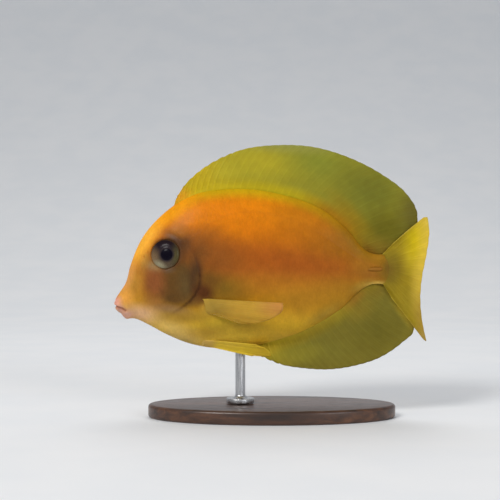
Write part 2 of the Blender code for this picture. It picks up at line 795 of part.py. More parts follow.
def make_stand(parts, cutters, torso):
    """A rod up into the belly, turned with a collar at its foot, on a flat oval base."""
    top = (edge_height(ROD_X, -1) + ROD_SINK + AXIS_HEIGHT) * MM
    foot = (BASE_THICKNESS + GAP) * MM
    neck = foot + COLLAR_HEIGHT * MM
    profile = [
        (0, foot),
        (COLLAR_RADIUS, foot),
        (COLLAR_RADIUS, neck - 0.4 * MM),
        (COLLAR_RADIUS - 0.4, neck),
        (ROD_RADIUS + 0.6, neck),
        (ROD_RADIUS, neck + 0.6 * MM),
        (ROD_RADIUS, top - 0.3 * MM),
        (ROD_RADIUS - 0.3, top),
        (0, top),
    ]
    mesh = bpy.data.meshes.new("stand_rod")
    points = [(radius * MM, 0, z) for radius, z in profile]
    mesh.from_pydata(points, [(i, i + 1) for i in range(len(points) - 1)], [])
    rod = bpy.data.objects.new("stand_rod", mesh)
    parts.objects.link(rod)
    turn = rod.modifiers.new("turn", "SCREW")
    turn.steps = ROUND_STEPS
    turn.render_steps = ROUND_STEPS
    turn.use_merge_vertices = True
    turn.merge_threshold = 0.00001
    turn.use_normal_calculate = True
    applied(rod)
    x = placed((ROD_X, 0, 0)).x
    rod.data.transform(Matrix.Translation((x, 0, 0)))
    finish(rod, "steel", parts)

    socket_depth = top + GAP * MM
    bm = bmesh.new()
    bmesh.ops.create_cone(
        bm,
        cap_ends=True,
        segments=ROUND_STEPS,
        radius1=(ROD_RADIUS + GAP) * MM,
        radius2=(ROD_RADIUS + GAP) * MM,
        depth=20 * MM,
    )
    bmesh.ops.translate(bm, verts=bm.verts, vec=Vector((x, 0, socket_depth - 10 * MM)))
    boolean(torso, "DIFFERENCE", object_from(bm, "rod_socket", cutters))

    bm = bmesh.new()
    bmesh.ops.create_cone(bm, cap_ends=True, segments=60, radius1=0.5, radius2=0.5, depth=1.0)
    bmesh.ops.scale(bm, verts=bm.verts, vec=Vector((BASE_LENGTH, BASE_WIDTH, BASE_THICKNESS)) * MM)
    bmesh.ops.translate(bm, verts=bm.verts, vec=Vector((0, 0, BASE_THICKNESS / 2 * MM)))
    base = object_from(bm, "stand_base", parts)
    edge = base.modifiers.new("edge", "BEVEL")
    edge.width = BASE_EDGE * MM
    edge.segments = 2
    edge.limit_method = "ANGLE"
    edge.angle_limit = math.radians(60)
    finish(base, "wood", parts)


def main():
    clear_scene()
    parts = new_collection("chocolate_surgeonfish")
    cutters = new_collection("cutters")
    cutters.hide_render = True

    head, jaw, covers, torso, stalk = part_body(parts, cutters)
    make_median_fins(parts)
    make_paired_fins(parts, cutters, torso)
    make_stand(parts, cutters, torso)
    for side, word in ((-1, "left"), (1, "right")):
        boolean(stalk, "DIFFERENCE", tail_blade("blade_room", side, GAP, cutters))
        finish(tail_blade("tail_blade_" + word, side, 0.0, parts), "blade", parts)
        finish(eyeball("eye_" + word, side, 0.0, parts), "eye", parts)
    for obj in (head, jaw, torso, stalk):
        finish(keep_largest_shell(obj), "skin", parts)
    for cover in covers:
        finish(keep_largest_shell(cover), "cheek", parts)
    for helper in list(cutters.objects):
        bpy.data.objects.remove(helper)
    bpy.data.collections.remove(cutters)


main()
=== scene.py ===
# %% [markdown]
# # A young chocolate surgeonfish on a stand
# The real animal is a reef fish of about nine centimetres, thin from side to side and almost as deep
# as it is long. This lesson dresses a plain model of it: one skin over the whole body, finely rayed
# fins, wet eyes, and a small stand. The plain model is loaded first and fixes every size and place.

# %% Load the model
import math

import bmesh
import bpy
import numpy as np
from mathutils import Matrix, Vector


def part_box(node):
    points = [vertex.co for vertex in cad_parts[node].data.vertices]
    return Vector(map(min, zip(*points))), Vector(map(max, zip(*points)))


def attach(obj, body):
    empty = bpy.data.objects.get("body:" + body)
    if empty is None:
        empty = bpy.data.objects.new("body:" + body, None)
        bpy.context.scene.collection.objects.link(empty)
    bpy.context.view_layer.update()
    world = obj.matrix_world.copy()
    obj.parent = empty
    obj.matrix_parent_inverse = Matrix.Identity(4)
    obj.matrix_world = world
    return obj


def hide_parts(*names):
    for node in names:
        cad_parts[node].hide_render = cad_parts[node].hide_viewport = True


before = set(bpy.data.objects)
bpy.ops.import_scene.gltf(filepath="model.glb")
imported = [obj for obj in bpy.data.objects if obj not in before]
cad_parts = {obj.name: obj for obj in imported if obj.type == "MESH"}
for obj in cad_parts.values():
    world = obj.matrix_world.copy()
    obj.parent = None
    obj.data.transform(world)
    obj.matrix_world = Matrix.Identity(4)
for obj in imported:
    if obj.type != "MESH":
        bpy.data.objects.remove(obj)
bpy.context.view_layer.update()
print("parts loaded:", len(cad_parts))

# %% [markdown]
# ## The fish's own ruler
# Sizes on the animal are written in millimetres: x runs back from the snout's tip and z up from the
# body's axis. One function puts such a point into the scene, with the slight swing of the tail, and
# another takes points back, which is needed later for carving and painting by place.

# %% Ruler and swing
MM = 0.001
TOTAL_LENGTH = 94.02
AXIS_HEIGHT = 44.0
BEND_START = 58.0
BEND_AT_TAIL = 2.4


def swing(x):
    past = np.maximum(x - BEND_START, 0.0) / (TOTAL_LENGTH - BEND_START)
    return -BEND_AT_TAIL * past**2


def placed(points):
    """Points of the fish, one row each, in the scene's metres."""
    points = np.atleast_2d(np.asarray(points, dtype=float))
    out = points.copy()
    out[:, 0] -= TOTAL_LENGTH / 2
    out[:, 1] += swing(points[:, 0])
    out[:, 2] += AXIS_HEIGHT
    return out * MM


def on_fish(points):
    """Scene points in the fish's millimetres, with the swing taken out."""
    out = np.atleast_2d(np.asarray(points, dtype=float)) / MM
    out[:, 0] += TOTAL_LENGTH / 2
    out[:, 2] -= AXIS_HEIGHT
    out[:, 1] -= swing(out[:, 0])
    return out


print("snout tip sits at", placed((0, 0, -10)).round(4))

# %% [markdown]
# ## Camera, light and floor
# The photo looks at the fish square from its left side. A long lens does the same here, so near and
# far fins keep their true sizes. Three large soft lamps stand in for a studio: the strongest hangs
# high on the left in front, a weaker one at middle height on the right in front, and one above and
# behind draws a bright rim along the back. A weak even light from all round softens the shadows.

# %% Camera
AIM = Vector((-6.51, 0.0, 50.0)) * MM
VIEW_WIDTH = 150 * MM  # width of the picture at the fish
LENS = 85.0
SENSOR = 36.0

camera_data = bpy.data.cameras.new("camera")
camera_data.lens = LENS
camera_data.sensor_width = SENSOR
camera_data.clip_start = 10 * MM
camera = bpy.data.objects.new("camera", camera_data)
bpy.context.scene.collection.objects.link(camera)
distance = VIEW_WIDTH * LENS / SENSOR
camera.location = AIM - Vector((0, distance, 0))
camera.rotation_euler = (math.radians(90), 0, 0)
bpy.context.scene.camera = camera
bpy.context.scene.view_settings.view_transform = "Standard"
print("camera stands", round(distance, 3), "m away")

# %% Lamps
LAMPS = (  # name, place in metres, width in metres, power in watts, colour
    ("key_lamp", (-0.64, -1.05, 0.9), 0.46, 11.6, (1.0, 0.98, 0.94)),
    ("fill_lamp", (0.9, -1.15, 0.5), 0.6, 4.9, (0.95, 0.97, 1.0)),
    ("back_lamp", (0.0, 0.42, 0.85), 0.6, 2.4, (1.0, 0.98, 0.95)),
)
SKY_COLOUR = (0.86, 0.89, 0.93, 1)
SKY_STRENGTH = 0.4

for name, place, width, power, colour in LAMPS:
    data = bpy.data.lights.new(name, "AREA")
    data.shape = "DISK"
    data.size = width
    data.energy = power
    data.color = colour
    lamp = bpy.data.objects.new(name, data)
    bpy.context.scene.collection.objects.link(lamp)
    lamp.location = place
    lamp.rotation_euler = (AIM - lamp.location).to_track_quat("-Z", "Y").to_euler()
    lamp.visible_camera = False
world = bpy.data.worlds.new("studio")
bpy.context.scene.world = world
world.use_nodes = True
sky = world.node_tree.nodes["Background"].inputs
sky["Color"].default_value = SKY_COLOUR
sky["Strength"].default_value = SKY_STRENGTH
print("lamps:", [name for name, *_ in LAMPS])

# %% [markdown]
# ## Helpers for finishes
# A finish is a small network of shader nodes. Most of the fish's colour is laid on like airbrush
# spray: soft oval clouds, one over the other, each placed by the fish's own ruler. Colours are given
# as they look on screen and turned into the linear values that the shader needs.

# %% Screen colours


def linear(red, green, blue):
    """A screen colour, each channel 0 to 255, as a linear shader colour."""

    def channel(value):
        value = min(max(value / 255, 0.0), 1.0)
        return value / 12.92 if value <= 0.04045 else ((value + 0.055) / 1.055) ** 2.4

    return (channel(red), channel(green), channel(blue), 1.0)


print("middle grey on screen is", round(linear(128, 128, 128)[0], 3), "to the shader")

# %% Shader nodes in plain words


class Network:
    """A material under construction, with short ways to add its nodes."""

    def __init__(self, name, roughness=0.5, metallic=0.0, sheen=0.5):
        self.material = bpy.data.materials.new(name)
        self.material.use_nodes = True
        self.tree = self.material.node_tree
        self.shader = self.tree.nodes["Principled BSDF"]
        self.place = self.node("ShaderNodeTexCoord").outputs["Object"]
        self.set({"Roughness": roughness, "Metallic": metallic, "Specular IOR Level": sheen})

    def feed(self, node, inputs):
        """Links or sets a node's inputs, given by name or number."""
        for name, value in inputs.items():
            if hasattr(value, "is_output"):
                self.tree.links.new(value, node.inputs[name])
            else:
                node.inputs[name].default_value = value

    def node(self, kind, inputs=None, **settings):
        made = self.tree.nodes.new(kind)
        for key, value in settings.items():
            setattr(made, key, value)
        self.feed(made, inputs or {})
        return made

    def set(self, inputs):
        """Links or sets inputs of the shader itself."""
        self.feed(self.shader, inputs)

    def mark(self, name):
        """A number that the mesh keeps for each of its points."""
        return self.node("ShaderNodeAttribute", attribute_name=name).outputs["Fac"]

    def math(self, operation, first, second=0.5, clamp=False):
        numbers = {0: first, 1: second}
        return self.node("ShaderNodeMath", numbers, operation=operation, use_clamp=clamp).outputs[0]

    def spread(self, value, low, high, to_low=0.0, to_high=1.0, kind="SMOOTHSTEP"):
        """Maps low..high of a value onto to_low..to_high, with soft ends unless kind is LINEAR."""
        ends = {"Value": value, "From Min": low, "From Max": high, "To Min": to_low, "To Max": to_high}
        return self.node("ShaderNodeMapRange", ends, interpolation_type=kind).outputs["Result"]

    def mix(self, share, under, over, blend="MIX"):
        # looked up by name, A, B and Result are the sockets for colours
        inputs = {"Factor": share, "A": under, "B": over}
        return self.node("ShaderNodeMix", inputs, data_type="RGBA", blend_type=blend).outputs["Result"]

    def toned(self, colour, tone):
        """The colour, made darker or lighter by a grey tone round 1."""
        grey = self.node("ShaderNodeCombineColor", {0: tone, 1: tone, 2: tone})
        return self.mix(1.0, colour, grey.outputs[0], "MULTIPLY")

    def bump(self, height, depth, below=None):
        """Adds relief of a depth in millimetres to the shader's normal."""
        inputs = {"Strength": 1.0, "Distance": depth * MM, "Height": height}
        if below is not None:
            inputs["Normal"] = below
        return self.node("ShaderNodeBump", inputs).outputs["Normal"]


print("a network can:", [name for name in vars(Network) if not name.startswith("_")])

# %% Patterns in the fish's millimetres
THROUGH = 100.0  # metres: a cloud reaches right through the fish and lies alike on both flanks
NOISE_ENDS = (0.3, 0.7)  # Blender's noise seldom leaves this range


class Finish(Network):
    """A network that also knows the fish's ruler."""

    def cloud(self, x, z, reach_x, reach_z, turn=0.0):
        """1 at a place on the fish's side, fading to 0 over an oval."""
        oval = self.node("ShaderNodeMapping", {
            "Vector": self.place,
            "Location": ((x - TOTAL_LENGTH / 2) * MM, 0, (z + AXIS_HEIGHT) * MM),
            "Rotation": (0, -math.radians(turn), 0),
            "Scale": (reach_x * MM, THROUGH, reach_z * MM),
        }, vector_type="TEXTURE")
        fade = self.node("ShaderNodeTexGradient", {"Vector": oval.outputs[0]}, gradient_type="SPHERICAL")
        return self.spread(fade.outputs["Fac"], 0.0, 1.0)

    def airbrush(self, colour, sprays):
        """Lays soft clouds of colour over colour, in order."""
        for _what, *oval, tint, strength in sprays:
            share = self.math("MULTIPLY", self.cloud(*oval), strength, clamp=True)
            colour = self.mix(share, colour, linear(*tint))
        return colour

    def height(self, low, high):
        """Height on the fish as a share between two heights, from 0 to 1."""
        up = self.node("ShaderNodeSeparateXYZ", {0: self.place}).outputs["Z"]
        return self.spread(up, (low + AXIS_HEIGHT) * MM, (high + AXIS_HEIGHT) * MM, kind="LINEAR")

    def colour_ramp(self, value, stops):
        made = self.node("ShaderNodeValToRGB", {"Fac": value})
        elements = made.color_ramp.elements
        while len(elements) < len(stops):
            elements.new(0.5)
        for element, (place, tint) in zip(elements, stops):
            element.position = place
            element.color = linear(*tint)
        return made.outputs["Color"]

    def noise(self, size, detail=3.0, stretch=(1, 1, 1), distortion=0.0):
        """Noise whose blobs are about size millimetres across."""
        scale = tuple(1 / (s * size * MM) for s in stretch)
        scaled = self.node("ShaderNodeMapping", {"Vector": self.place, "Scale": scale}).outputs[0]
        inputs = {"Vector": scaled, "Scale": 1.0, "Detail": detail, "Distortion": distortion}
        return self.node("ShaderNodeTexNoise", inputs).outputs["Fac"]

    def speckle(self, size, detail=3.0, dark=0.0, light=1.0, stretch=(1, 1, 1), ends=NOISE_ENDS):
        """Noise drawn out so that it runs from dark to light."""
        return self.spread(self.noise(size, detail, stretch), *ends, dark, light)


print("a finish can also:", [name for name in vars(Finish) if not name.startswith("_")])

# %% [markdown]
# ## Helpers for shapes
# A row of numbers describes one section of the body or one ray of a fin, and a smooth curve runs
# through the rows. Pieces start as Blender primitives: a circle is drawn out into the body, and a
# grid is bent into a fin.

# %% Curves through rows


class SmoothRows:
    """A curve through rows of numbers, run evenly by the distance from row to row."""

    def __init__(self, rows, straight=False):
        self.straight = straight
        self.rows = np.array(rows, dtype=float)
        steps = np.linalg.norm(np.diff(self.rows, axis=0), axis=1)
        self.knots = np.concatenate(([0.0], np.cumsum(steps)))
        rise = np.diff(self.rows, axis=0) / steps[:, None]
        slopes = np.zeros_like(self.rows)
        slopes[0], slopes[-1] = rise[0], rise[-1]
        before, after = steps[:-1, None], steps[1:, None]
        slopes[1:-1] = (rise[:-1] * after + rise[1:] * before) / (before + after)
        self.slopes = slopes

    def at(self, shares):
        """Rows at these shares of the whole length, from 0 to 1."""
        places = np.clip(np.atleast_1d(shares), 0, 1) * self.knots[-1]
        i = np.clip(np.searchsorted(self.knots, places, side="right") - 1, 0, len(self.rows) - 2)
        span = (self.knots[i + 1] - self.knots[i])[:, None]
        t = (places[:, None] - self.knots[i][:, None]) / span
        first, last = self.rows[i], self.rows[i + 1]
        if self.straight:
            return first + (last - first) * t
        leave, arrive = self.slopes[i] * span, self.slopes[i + 1] * span
        ends = (2 * t**3 - 3 * t**2 + 1) * first + (3 * t**2 - 2 * t**3) * last
        return ends + (t**3 - 2 * t**2 + t) * leave + (t**3 - t**2) * arrive


print("half way along a bow:", SmoothRows(((0, 0), (1, 1), (2, 0))).at(0.5)[0])

# %% Small mesh tools


def pick(obj):
    """Makes obj the only selected and active object."""
    bpy.ops.object.select_all(action="DESELECT")
    obj.select_set(True)
    bpy.context.view_layer.objects.active = obj


def apply_all(obj):
    """Applies the object's modifiers in order."""
    pick(obj)
    for step in list(obj.modifiers):
        bpy.ops.object.modifier_apply(modifier=step.name)


def face_outwards(obj):
    """Turns every face of a closed shape outwards."""
    pick(obj)
    bpy.ops.object.mode_set(mode="EDIT")
    bpy.ops.mesh.select_all(action="SELECT")
    bpy.ops.mesh.normals_make_consistent(inside=False)
    bpy.ops.object.mode_set(mode="OBJECT")


def vertices_of(obj, what="co"):
    """The places of the vertices, one row each, or their normals."""
    flat = np.empty(len(obj.data.vertices) * 3)
    obj.data.vertices.foreach_get(what, flat)
    return flat.reshape(-1, 3)


def set_vertices(obj, points):
    obj.data.vertices.foreach_set("co", np.ascontiguousarray(points).ravel())
    obj.data.update()


print("the torso's solid has", len(vertices_of(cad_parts["torso"])), "vertices")

# %% Name, dress and place a piece
SIDES = ((-1, "left"), (1, "right"))


def finish_piece(obj, name, finish, slot, *nodes):
    """Names a piece, gives it its finish, smooths it, hangs it on the root body and hides the parts it
    replaces; slot is not used.
    """
    obj.name = name
    obj.data.name = name
    obj.data.materials.clear()
    obj.data.materials.append(finish.material)
    pick(obj)
    bpy.ops.object.shade_smooth()
    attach(obj, "root")
    if nodes:
        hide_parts(*nodes)
    print(name, "has", len(obj.data.polygons), "faces")
    return obj


# %% [markdown]
# ## The body's shape
# A surgeonfish is a deep, thin oval with a short pointed snout. Sixteen sections hold its outline and
# width. A primitive circle takes the shape of the first section and is then drawn out, section by
# section, from the lips to the tail, as a tube is extruded. Two rounds of subdivision make it smooth.

# %% Sections of the body
BODY = SmoothRows((  # back x and z, belly x and z, half width
    (0.0, -9.8, 1.8, -12.9, 1.1),
    (0.3, -8.4, 2.7, -14.1, 1.7),
    (1.1, -7.2, 3.5, -14.7, 1.9),
    (2.0, -5.9, 4.5, -14.5, 1.7),
    (3.1, -4.2, 5.8, -14.5, 2.3),
    (4.6, 1.2, 9.6, -16.1, 3.3),
    (8.3, 9.8, 15.0, -19.0, 4.8),
    (15.6, 17.8, 22.0, -21.9, 6.2),
    (24.0, 22.9, 29.1, -23.3, 6.9),
    (35.0, 24.6, 36.9, -23.2, 6.8),
    (48.9, 23.2, 48.0, -21.3, 5.8),
    (61.5, 18.6, 59.4, -17.1, 4.2),
    (70.3, 11.6, 68.4, -11.2, 2.6),
    (75.4, 5.7, 75.0, -5.0, 1.75),
    (78.3, 4.6, 78.0, -4.0, 1.5),
    (81.3, 4.9, 81.3, -4.4, 1.2),
))
print("the body ends", BODY.rows[-1, 0], "mm behind the snout's tip")

# %% Rings round the body
SECTIONS = 70
CROWDING = 1.3  # packs the sections towards the snout
SIDE_POINTS = 30
BACK_EDGE = 0.42
BACK_SLIMNESS = 1.3
BELLY_SLIMNESS = 1.12
LIP_RINGS = ((0.2, 0.42), (0.55, 0.33), (0.82, 0.17))  # size of the first ring, and how far ahead
LIP_DROP = 0.9
ROOT_RINGS = ((0.66, 1.0, 0.7), (0.32, 0.98, 1.6), (0.1, 0.92, 2.6))  # width, height, how far behind
ROOT_CROWN = 0.75


def half_width(row, height):
    """Half width of the body on a section; height runs from -1 at the belly to 1 at the back."""
    slimness = np.where(height > 0, BACK_SLIMNESS, BELLY_SLIMNESS)
    return BACK_EDGE + (row[4] - BACK_EDGE) * np.maximum(1 - height**2, 0) ** (slimness / 2)


def body_ring(share):
    row = BODY.at(share)[0]
    height = np.cos(np.linspace(0, math.pi, SIDE_POINTS))
    x = (row[0] + row[2]) / 2 + (row[0] - row[2]) / 2 * height
    z = (row[1] + row[3]) / 2 + (row[1] - row[3]) / 2 * height
    y = half_width(row, height)
    left = np.column_stack((x, -y, z))
    right = np.column_stack((x, y, z))[::-1]
    return np.vstack((left, right))


def shrunk_ring(ring, scale, shift):
    middle = ring.mean(axis=0)
    return middle + (ring - middle) * scale + np.array(shift)


rings = [body_ring((k / (SECTIONS - 1)) ** CROWDING) for k in range(SECTIONS)]
lips = [shrunk_ring(rings[0], size, (-push, 0, -push * LIP_DROP)) for size, push in LIP_RINGS]
tail_root = []
for flat, tall, push in ROOT_RINGS:
    ring = shrunk_ring(rings[-1], (1, flat, tall), (0, 0, 0))
    height = (ring[:, 2] - ring[:, 2].mean()) / np.ptp(ring[:, 2]) * 2
    ring[:, 0] += push * (1 - ROOT_CROWN * height**2)
    tail_root.append(ring)
rings = lips + rings + tail_root
print("rings:", len(rings), "of", len(rings[0]), "points")

# %% Draw the body out of a circle
MOUTH_CAP = 0.4  # size of the smallest ring, inside the lips
SUBDIVISIONS = 2


def lay(vertices, ring):
    for vertex, point in zip(vertices, placed(ring)):
        vertex.co = point


def drawn_out(name, rings):
    """A closed tube: a primitive circle that is extruded from ring to ring."""
    bpy.ops.object.select_all(action="DESELECT")
    bpy.ops.mesh.primitive_circle_add(vertices=len(rings[0]), radius=MM, fill_type="NGON")
    tube = bpy.context.object
    tube.name = name
    bpy.ops.object.mode_set(mode="EDIT")
    bpy.ops.mesh.select_all(action="SELECT")
    bpy.ops.mesh.inset(thickness=0.2 * MM)
    bpy.ops.mesh.select_all(action="DESELECT")
    bpy.ops.mesh.select_mode(type="EDGE")
    mesh = bmesh.from_edit_mesh(tube.data)
    rim = [v for v in mesh.verts if any(len(e.link_faces) == 1 for e in v.link_edges)]
    lay(rim, rings[0])
    lay([v for v in mesh.verts if v not in rim], shrunk_ring(rings[0], MOUTH_CAP, (-0.03, 0, -0.03)))
    for edge in mesh.edges:
        edge.select = len(edge.link_faces) == 1
    bmesh.update_edit_mesh(tube.data)
    for ring in rings[1:]:
        bpy.ops.mesh.extrude_region_move()
        mesh = bmesh.from_edit_mesh(tube.data)
        lay([v for v in mesh.verts if v.select], ring)
        bmesh.update_edit_mesh(tube.data)
    bpy.ops.mesh.edge_face_add()
    bpy.ops.mesh.inset(thickness=0.15 * MM)
    bpy.ops.object.mode_set(mode="OBJECT")
    face_outwards(tube)
    return tube


skin = drawn_out("skin", rings)
smoothing = skin.modifiers.new("smoothing", "SUBSURF")
smoothing.levels = SUBDIVISIONS
smoothing.render_levels = SUBDIVISIONS
apply_all(skin)
print("skin has", len(skin.data.vertices), "points")

# %% [markdown]
# ## Carving the head and flanks
# The smooth skin still needs its forms: lips and mouth, nostrils, the ring round the eye, the edges of
# the gill cover, the fleshy roots of the fins and the shallow slot for the tail blade. A sculptor
# would push them in with brushes. Here each brush is a formula of the distance to a point or a line,
# and every point of the skin moves along its own normal by the sum of them.

# %% Lines and places on the head
EYE_X, EYE_Z = 15.4, 4.8
EYE_RADIUS = 4.4
RIM_RADIUS = 4.75
NOSTRILS = ((8.9, 4.0, 0.34), (10.1, 5.3, 0.44))  # x, z and radius
GILL_LINE = (
    (20.6, 11.6), (22.4, 7.6), (24.1, 4.2), (25.5, -0.6), (25.3, -4.8),
    (23.1, -8.5), (19.8, -11.2), (16.2, -13.2), (12.6, -14.2),
)
CHEEK_LINE = (
    (20.9, 8.4), (21.3, 3.4), (21.2, -1.0), (20.0, -5.0), (17.2, -8.1), (14.2, -10.2), (11.6, -11.3),
)
MOUTH_LINE = ((-3.0, -9.6), (0.8, -11.0), (2.6, -11.6), (3.7, -12.3))
SIDE_LINE = (
    (23.4, 8.2), (28, 13.2), (36, 16.8), (46, 16.9), (56, 13.6), (64, 9.0), (70, 4.9), (74, 2.4),
    (80, 0.8),
)
BLADE_LINE = ((75.9, 0.3), (79.8, 0.3))
print("the eye is", round(2 * EYE_RADIUS / BODY.rows[-1, 0] * 100, 1), "percent of the body's length")

# %% Distances and soft steps


def to_line(points, line, steps=60):
    """Distance of each point (x, z) to a line, and how far behind the line it lies."""
    path = np.array(line, dtype=float)
    if len(line) > 2:
        path = SmoothRows(line).at(np.linspace(0, 1, steps))
    best = np.full(len(points), 1e9)
    behind = np.zeros(len(points))
    share = np.zeros(len(points))
    for k, (a, b) in enumerate(zip(path[:-1], path[1:])):
        run = b - a
        t = np.clip(((points - a) @ run) / (run @ run), 0, 1)
        away = points - (a + t[:, None] * run)
        reach = np.linalg.norm(away, axis=1)
        closer = reach < best
        best = np.where(closer, reach, best)
        side = away[:, 1] * run[0] - away[:, 0] * run[1]
        behind = np.where(closer, np.where(side > 0, reach, -reach), behind)
        share = np.where(closer, (k + t) / (len(path) - 1), share)
    return best, behind, share


def bell(value, width):
    return np.exp(-((value / width) ** 2))


def ramp(low, high, value):
    t = np.clip((value - low) / (high - low), 0, 1)
    return t * t * (3 - 2 * t)


print("a soft step half way up:", ramp(0.0, 2.0, 1.0))

# %% Where each point of the skin lies
fish = on_fish(vertices_of(skin))
side_view = fish[:, [0, 2]]
x, z = side_view.T
to_eye = np.hypot(x - EYE_X, z - EYE_Z)
to_gill, past_gill, along_gill = to_line(side_view, GILL_LINE)
to_cheek, past_cheek, along_cheek = to_line(side_view, CHEEK_LINE)
to_mouth, _, along_mouth = to_line(side_view, MOUTH_LINE)
to_side_line, _, _ = to_line(side_view, SIDE_LINE)
to_blade, _, _ = to_line(side_view, BLADE_LINE)
to_back, _, _ = to_line(side_view, BODY.rows[:, :2])
on_flank = ramp(0.25, 1.1, np.abs(fish[:, 1]))
gill_share = ramp(0.12, 0.42, along_gill) * (1 - ramp(0.58, 0.95, along_gill)) * on_flank
cheek_share = ramp(0.0, 0.15, along_cheek) * (1 - ramp(0.8, 1.0, along_cheek)) * on_flank
print("nearest to the gill line:", to_gill.min().round(3), "mm")

# %% Carve
FLAP_HEIGHT, FLAP_REACH = 0.42, 2.4  # the gill cover swells towards its free edge
STEP_DEPTH, STEP_REACH = 0.34, 0.9  # and drops to the flank behind it
ridges = [  # what, distance, where the ridge lies, its width and height, share of the skin
    ("ring round the eye", to_eye, RIM_RADIUS, 0.55, 0.11, 1),
    ("moat round the ring", to_eye, 6.0, 0.9, -0.08, 1),
    ("swelling ahead of the crease", past_cheek, -0.55, 0.6, 0.05, cheek_share),
    ("crease on the cheek", past_cheek, 0, 0.35, -0.09, cheek_share),
    ("mouth", to_mouth, 0, 0.22, -0.34, 1 - ramp(0.93, 1.0, along_mouth)),
    ("lips", to_mouth, 0.75, 0.5, 0.18, 1 - ramp(2.6, 5.0, x)),
    ("side line", to_side_line, 0, 0.3, 0.06, on_flank),
    ("rim of the blade's slot", to_blade, 1.0, 0.35, 0.02, 1),
]
for at_x, at_z, radius in NOSTRILS:
    away = np.hypot(x - at_x, z - at_z)
    ridges.append(("rim of a nostril", away, radius + 0.18, 0.2, 0.12, 1))
    ridges.append(("hole of a nostril", away, 0, radius, -0.55, 1))
hollows = (  # what, distance, where its wall begins and ends, depth
    ("socket of the eye", to_eye, 3.95, 4.5, 2.2),
    ("slot of the blade", to_blade, 0.4, 0.95, 0.12),
)
SWELLINGS = (  # what, x, z, reach in x, reach in z, height
    ("fleshy root of the pectoral fin", 26.9, -9.9, 1.3, 2.9, 0.45),
    ("hollow behind it", 29.6, -7.4, 1.3, 2.4, -0.22),
    ("jaw muscle", 12.5, -3.0, 4.0, 4.5, 0.12),
)

ahead = np.where(past_gill < 0, np.exp(past_gill / FLAP_REACH), 0) * FLAP_HEIGHT
behind = np.where(past_gill >= 0, np.exp(-past_gill / STEP_REACH), 0) * -STEP_DEPTH
relief = (ahead + behind) * gill_share
for _what, distance, place, width, height, share in ridges:
    relief += height * bell(distance - place, width) * share
for _what, distance, begin, end, depth in hollows:
    relief -= depth * (1 - ramp(begin, end, distance))
for _what, at_x, at_z, reach_x, reach_z, height in SWELLINGS:
    relief += height * np.exp(-(((x - at_x) / reach_x) ** 2) - ((z - at_z) / reach_z) ** 2) * on_flank
set_vertices(skin, vertices_of(skin) + vertices_of(skin, "normal") * (relief * MM)[:, None])
print("carved between", relief.min().round(2), "and", relief.max().round(2), "mm")

# %% [markdown]
# ## Guides for the brush of colour
# Some colour follows lines. The dark slit behind the gill cover, the creases of cheek and mouth and the
# ring round the eye are painted shade; the side line is a marking. Their strength is worked out
# for every point of the skin, once, and kept with the mesh as a named number that the finish reads.

# %% Marks on the skin


def add_mark(obj, name, values):
    mark = obj.data.attributes.new(name, "FLOAT", "POINT")
    mark.data.foreach_set("value", np.clip(values, 0, 1).astype(np.float32))


gill_line = np.where(past_gill > 0, bell(past_gill - 0.15, 0.75), bell(past_gill, 0.22))
above_eye = ramp(-3.0, 3.0, x - EYE_X + 0.7 * (z - EYE_Z))
# painted shade in the gill opening
add_mark(skin, "gill_slit_shade", gill_line * gill_share)
# painted shade in the cheek's crease
add_mark(skin, "cheek_crease_shade", bell(to_cheek, 0.5) * cheek_share)
# painted shade in the mouth's slit
add_mark(skin, "mouth_slit_shade", bell(to_mouth, 0.34) * (1 - ramp(0.95, 1.0, along_mouth)))
add_mark(skin, "side_line", bell(to_side_line, 0.35) * on_flank)
# painted shade round the eye, stronger behind and above it
add_mark(skin, "eye_ring_shade", bell(to_eye - 4.6, 0.5) * (0.3 + 0.7 * above_eye))
add_mark(skin, "back_fringe", (1 - ramp(0.4, 4.2, to_back)) * ramp(19, 30, x))
add_mark(skin, "bare_skin", 1 - ramp(5.0, 7.0, to_eye) + 1 - ramp(2.0, 4.5, x))
print("marks:", [mark.name for mark in skin.data.attributes if mark.data_type == "FLOAT"])

# %% [markdown]
# ## The skin's finish
# Orange above, brown on the cheek and flank, gold below: the colours flow into each other without a
# border. A ramp from belly to back lays the ground, and the clouds follow. The ramp is partly painted
# light: its stops are lighter on the back, where light falls from above, and raised on the belly
# against the shade beneath it. Thousands of tiny scales give the skin a velvet look, which is too fine
# for geometry and is left to a shallow relief.

# %% Ground colours from belly to back
# partly the fish's own colours, partly painted light: lighter on the back from light above, raised on
# the belly against its shade
GROUND = (
    (0.0, (214, 176, 80)),
    (0.14, (206, 164, 44)),
    (0.26, (194, 142, 32)),
    (0.38, (178, 116, 28)),
    (0.50, (166, 92, 26)),
    (0.62, (180, 98, 18)),
    (0.76, (204, 114, 8)),
    (0.90, (216, 128, 6)),
    (1.0, (214, 140, 8)),
)
skin_finish = Finish("living_skin", roughness=0.42, sheen=0.06)
ground = skin_finish.colour_ramp(skin_finish.height(-23.5, 24.5), GROUND)
print("ground colours:", len(GROUND))
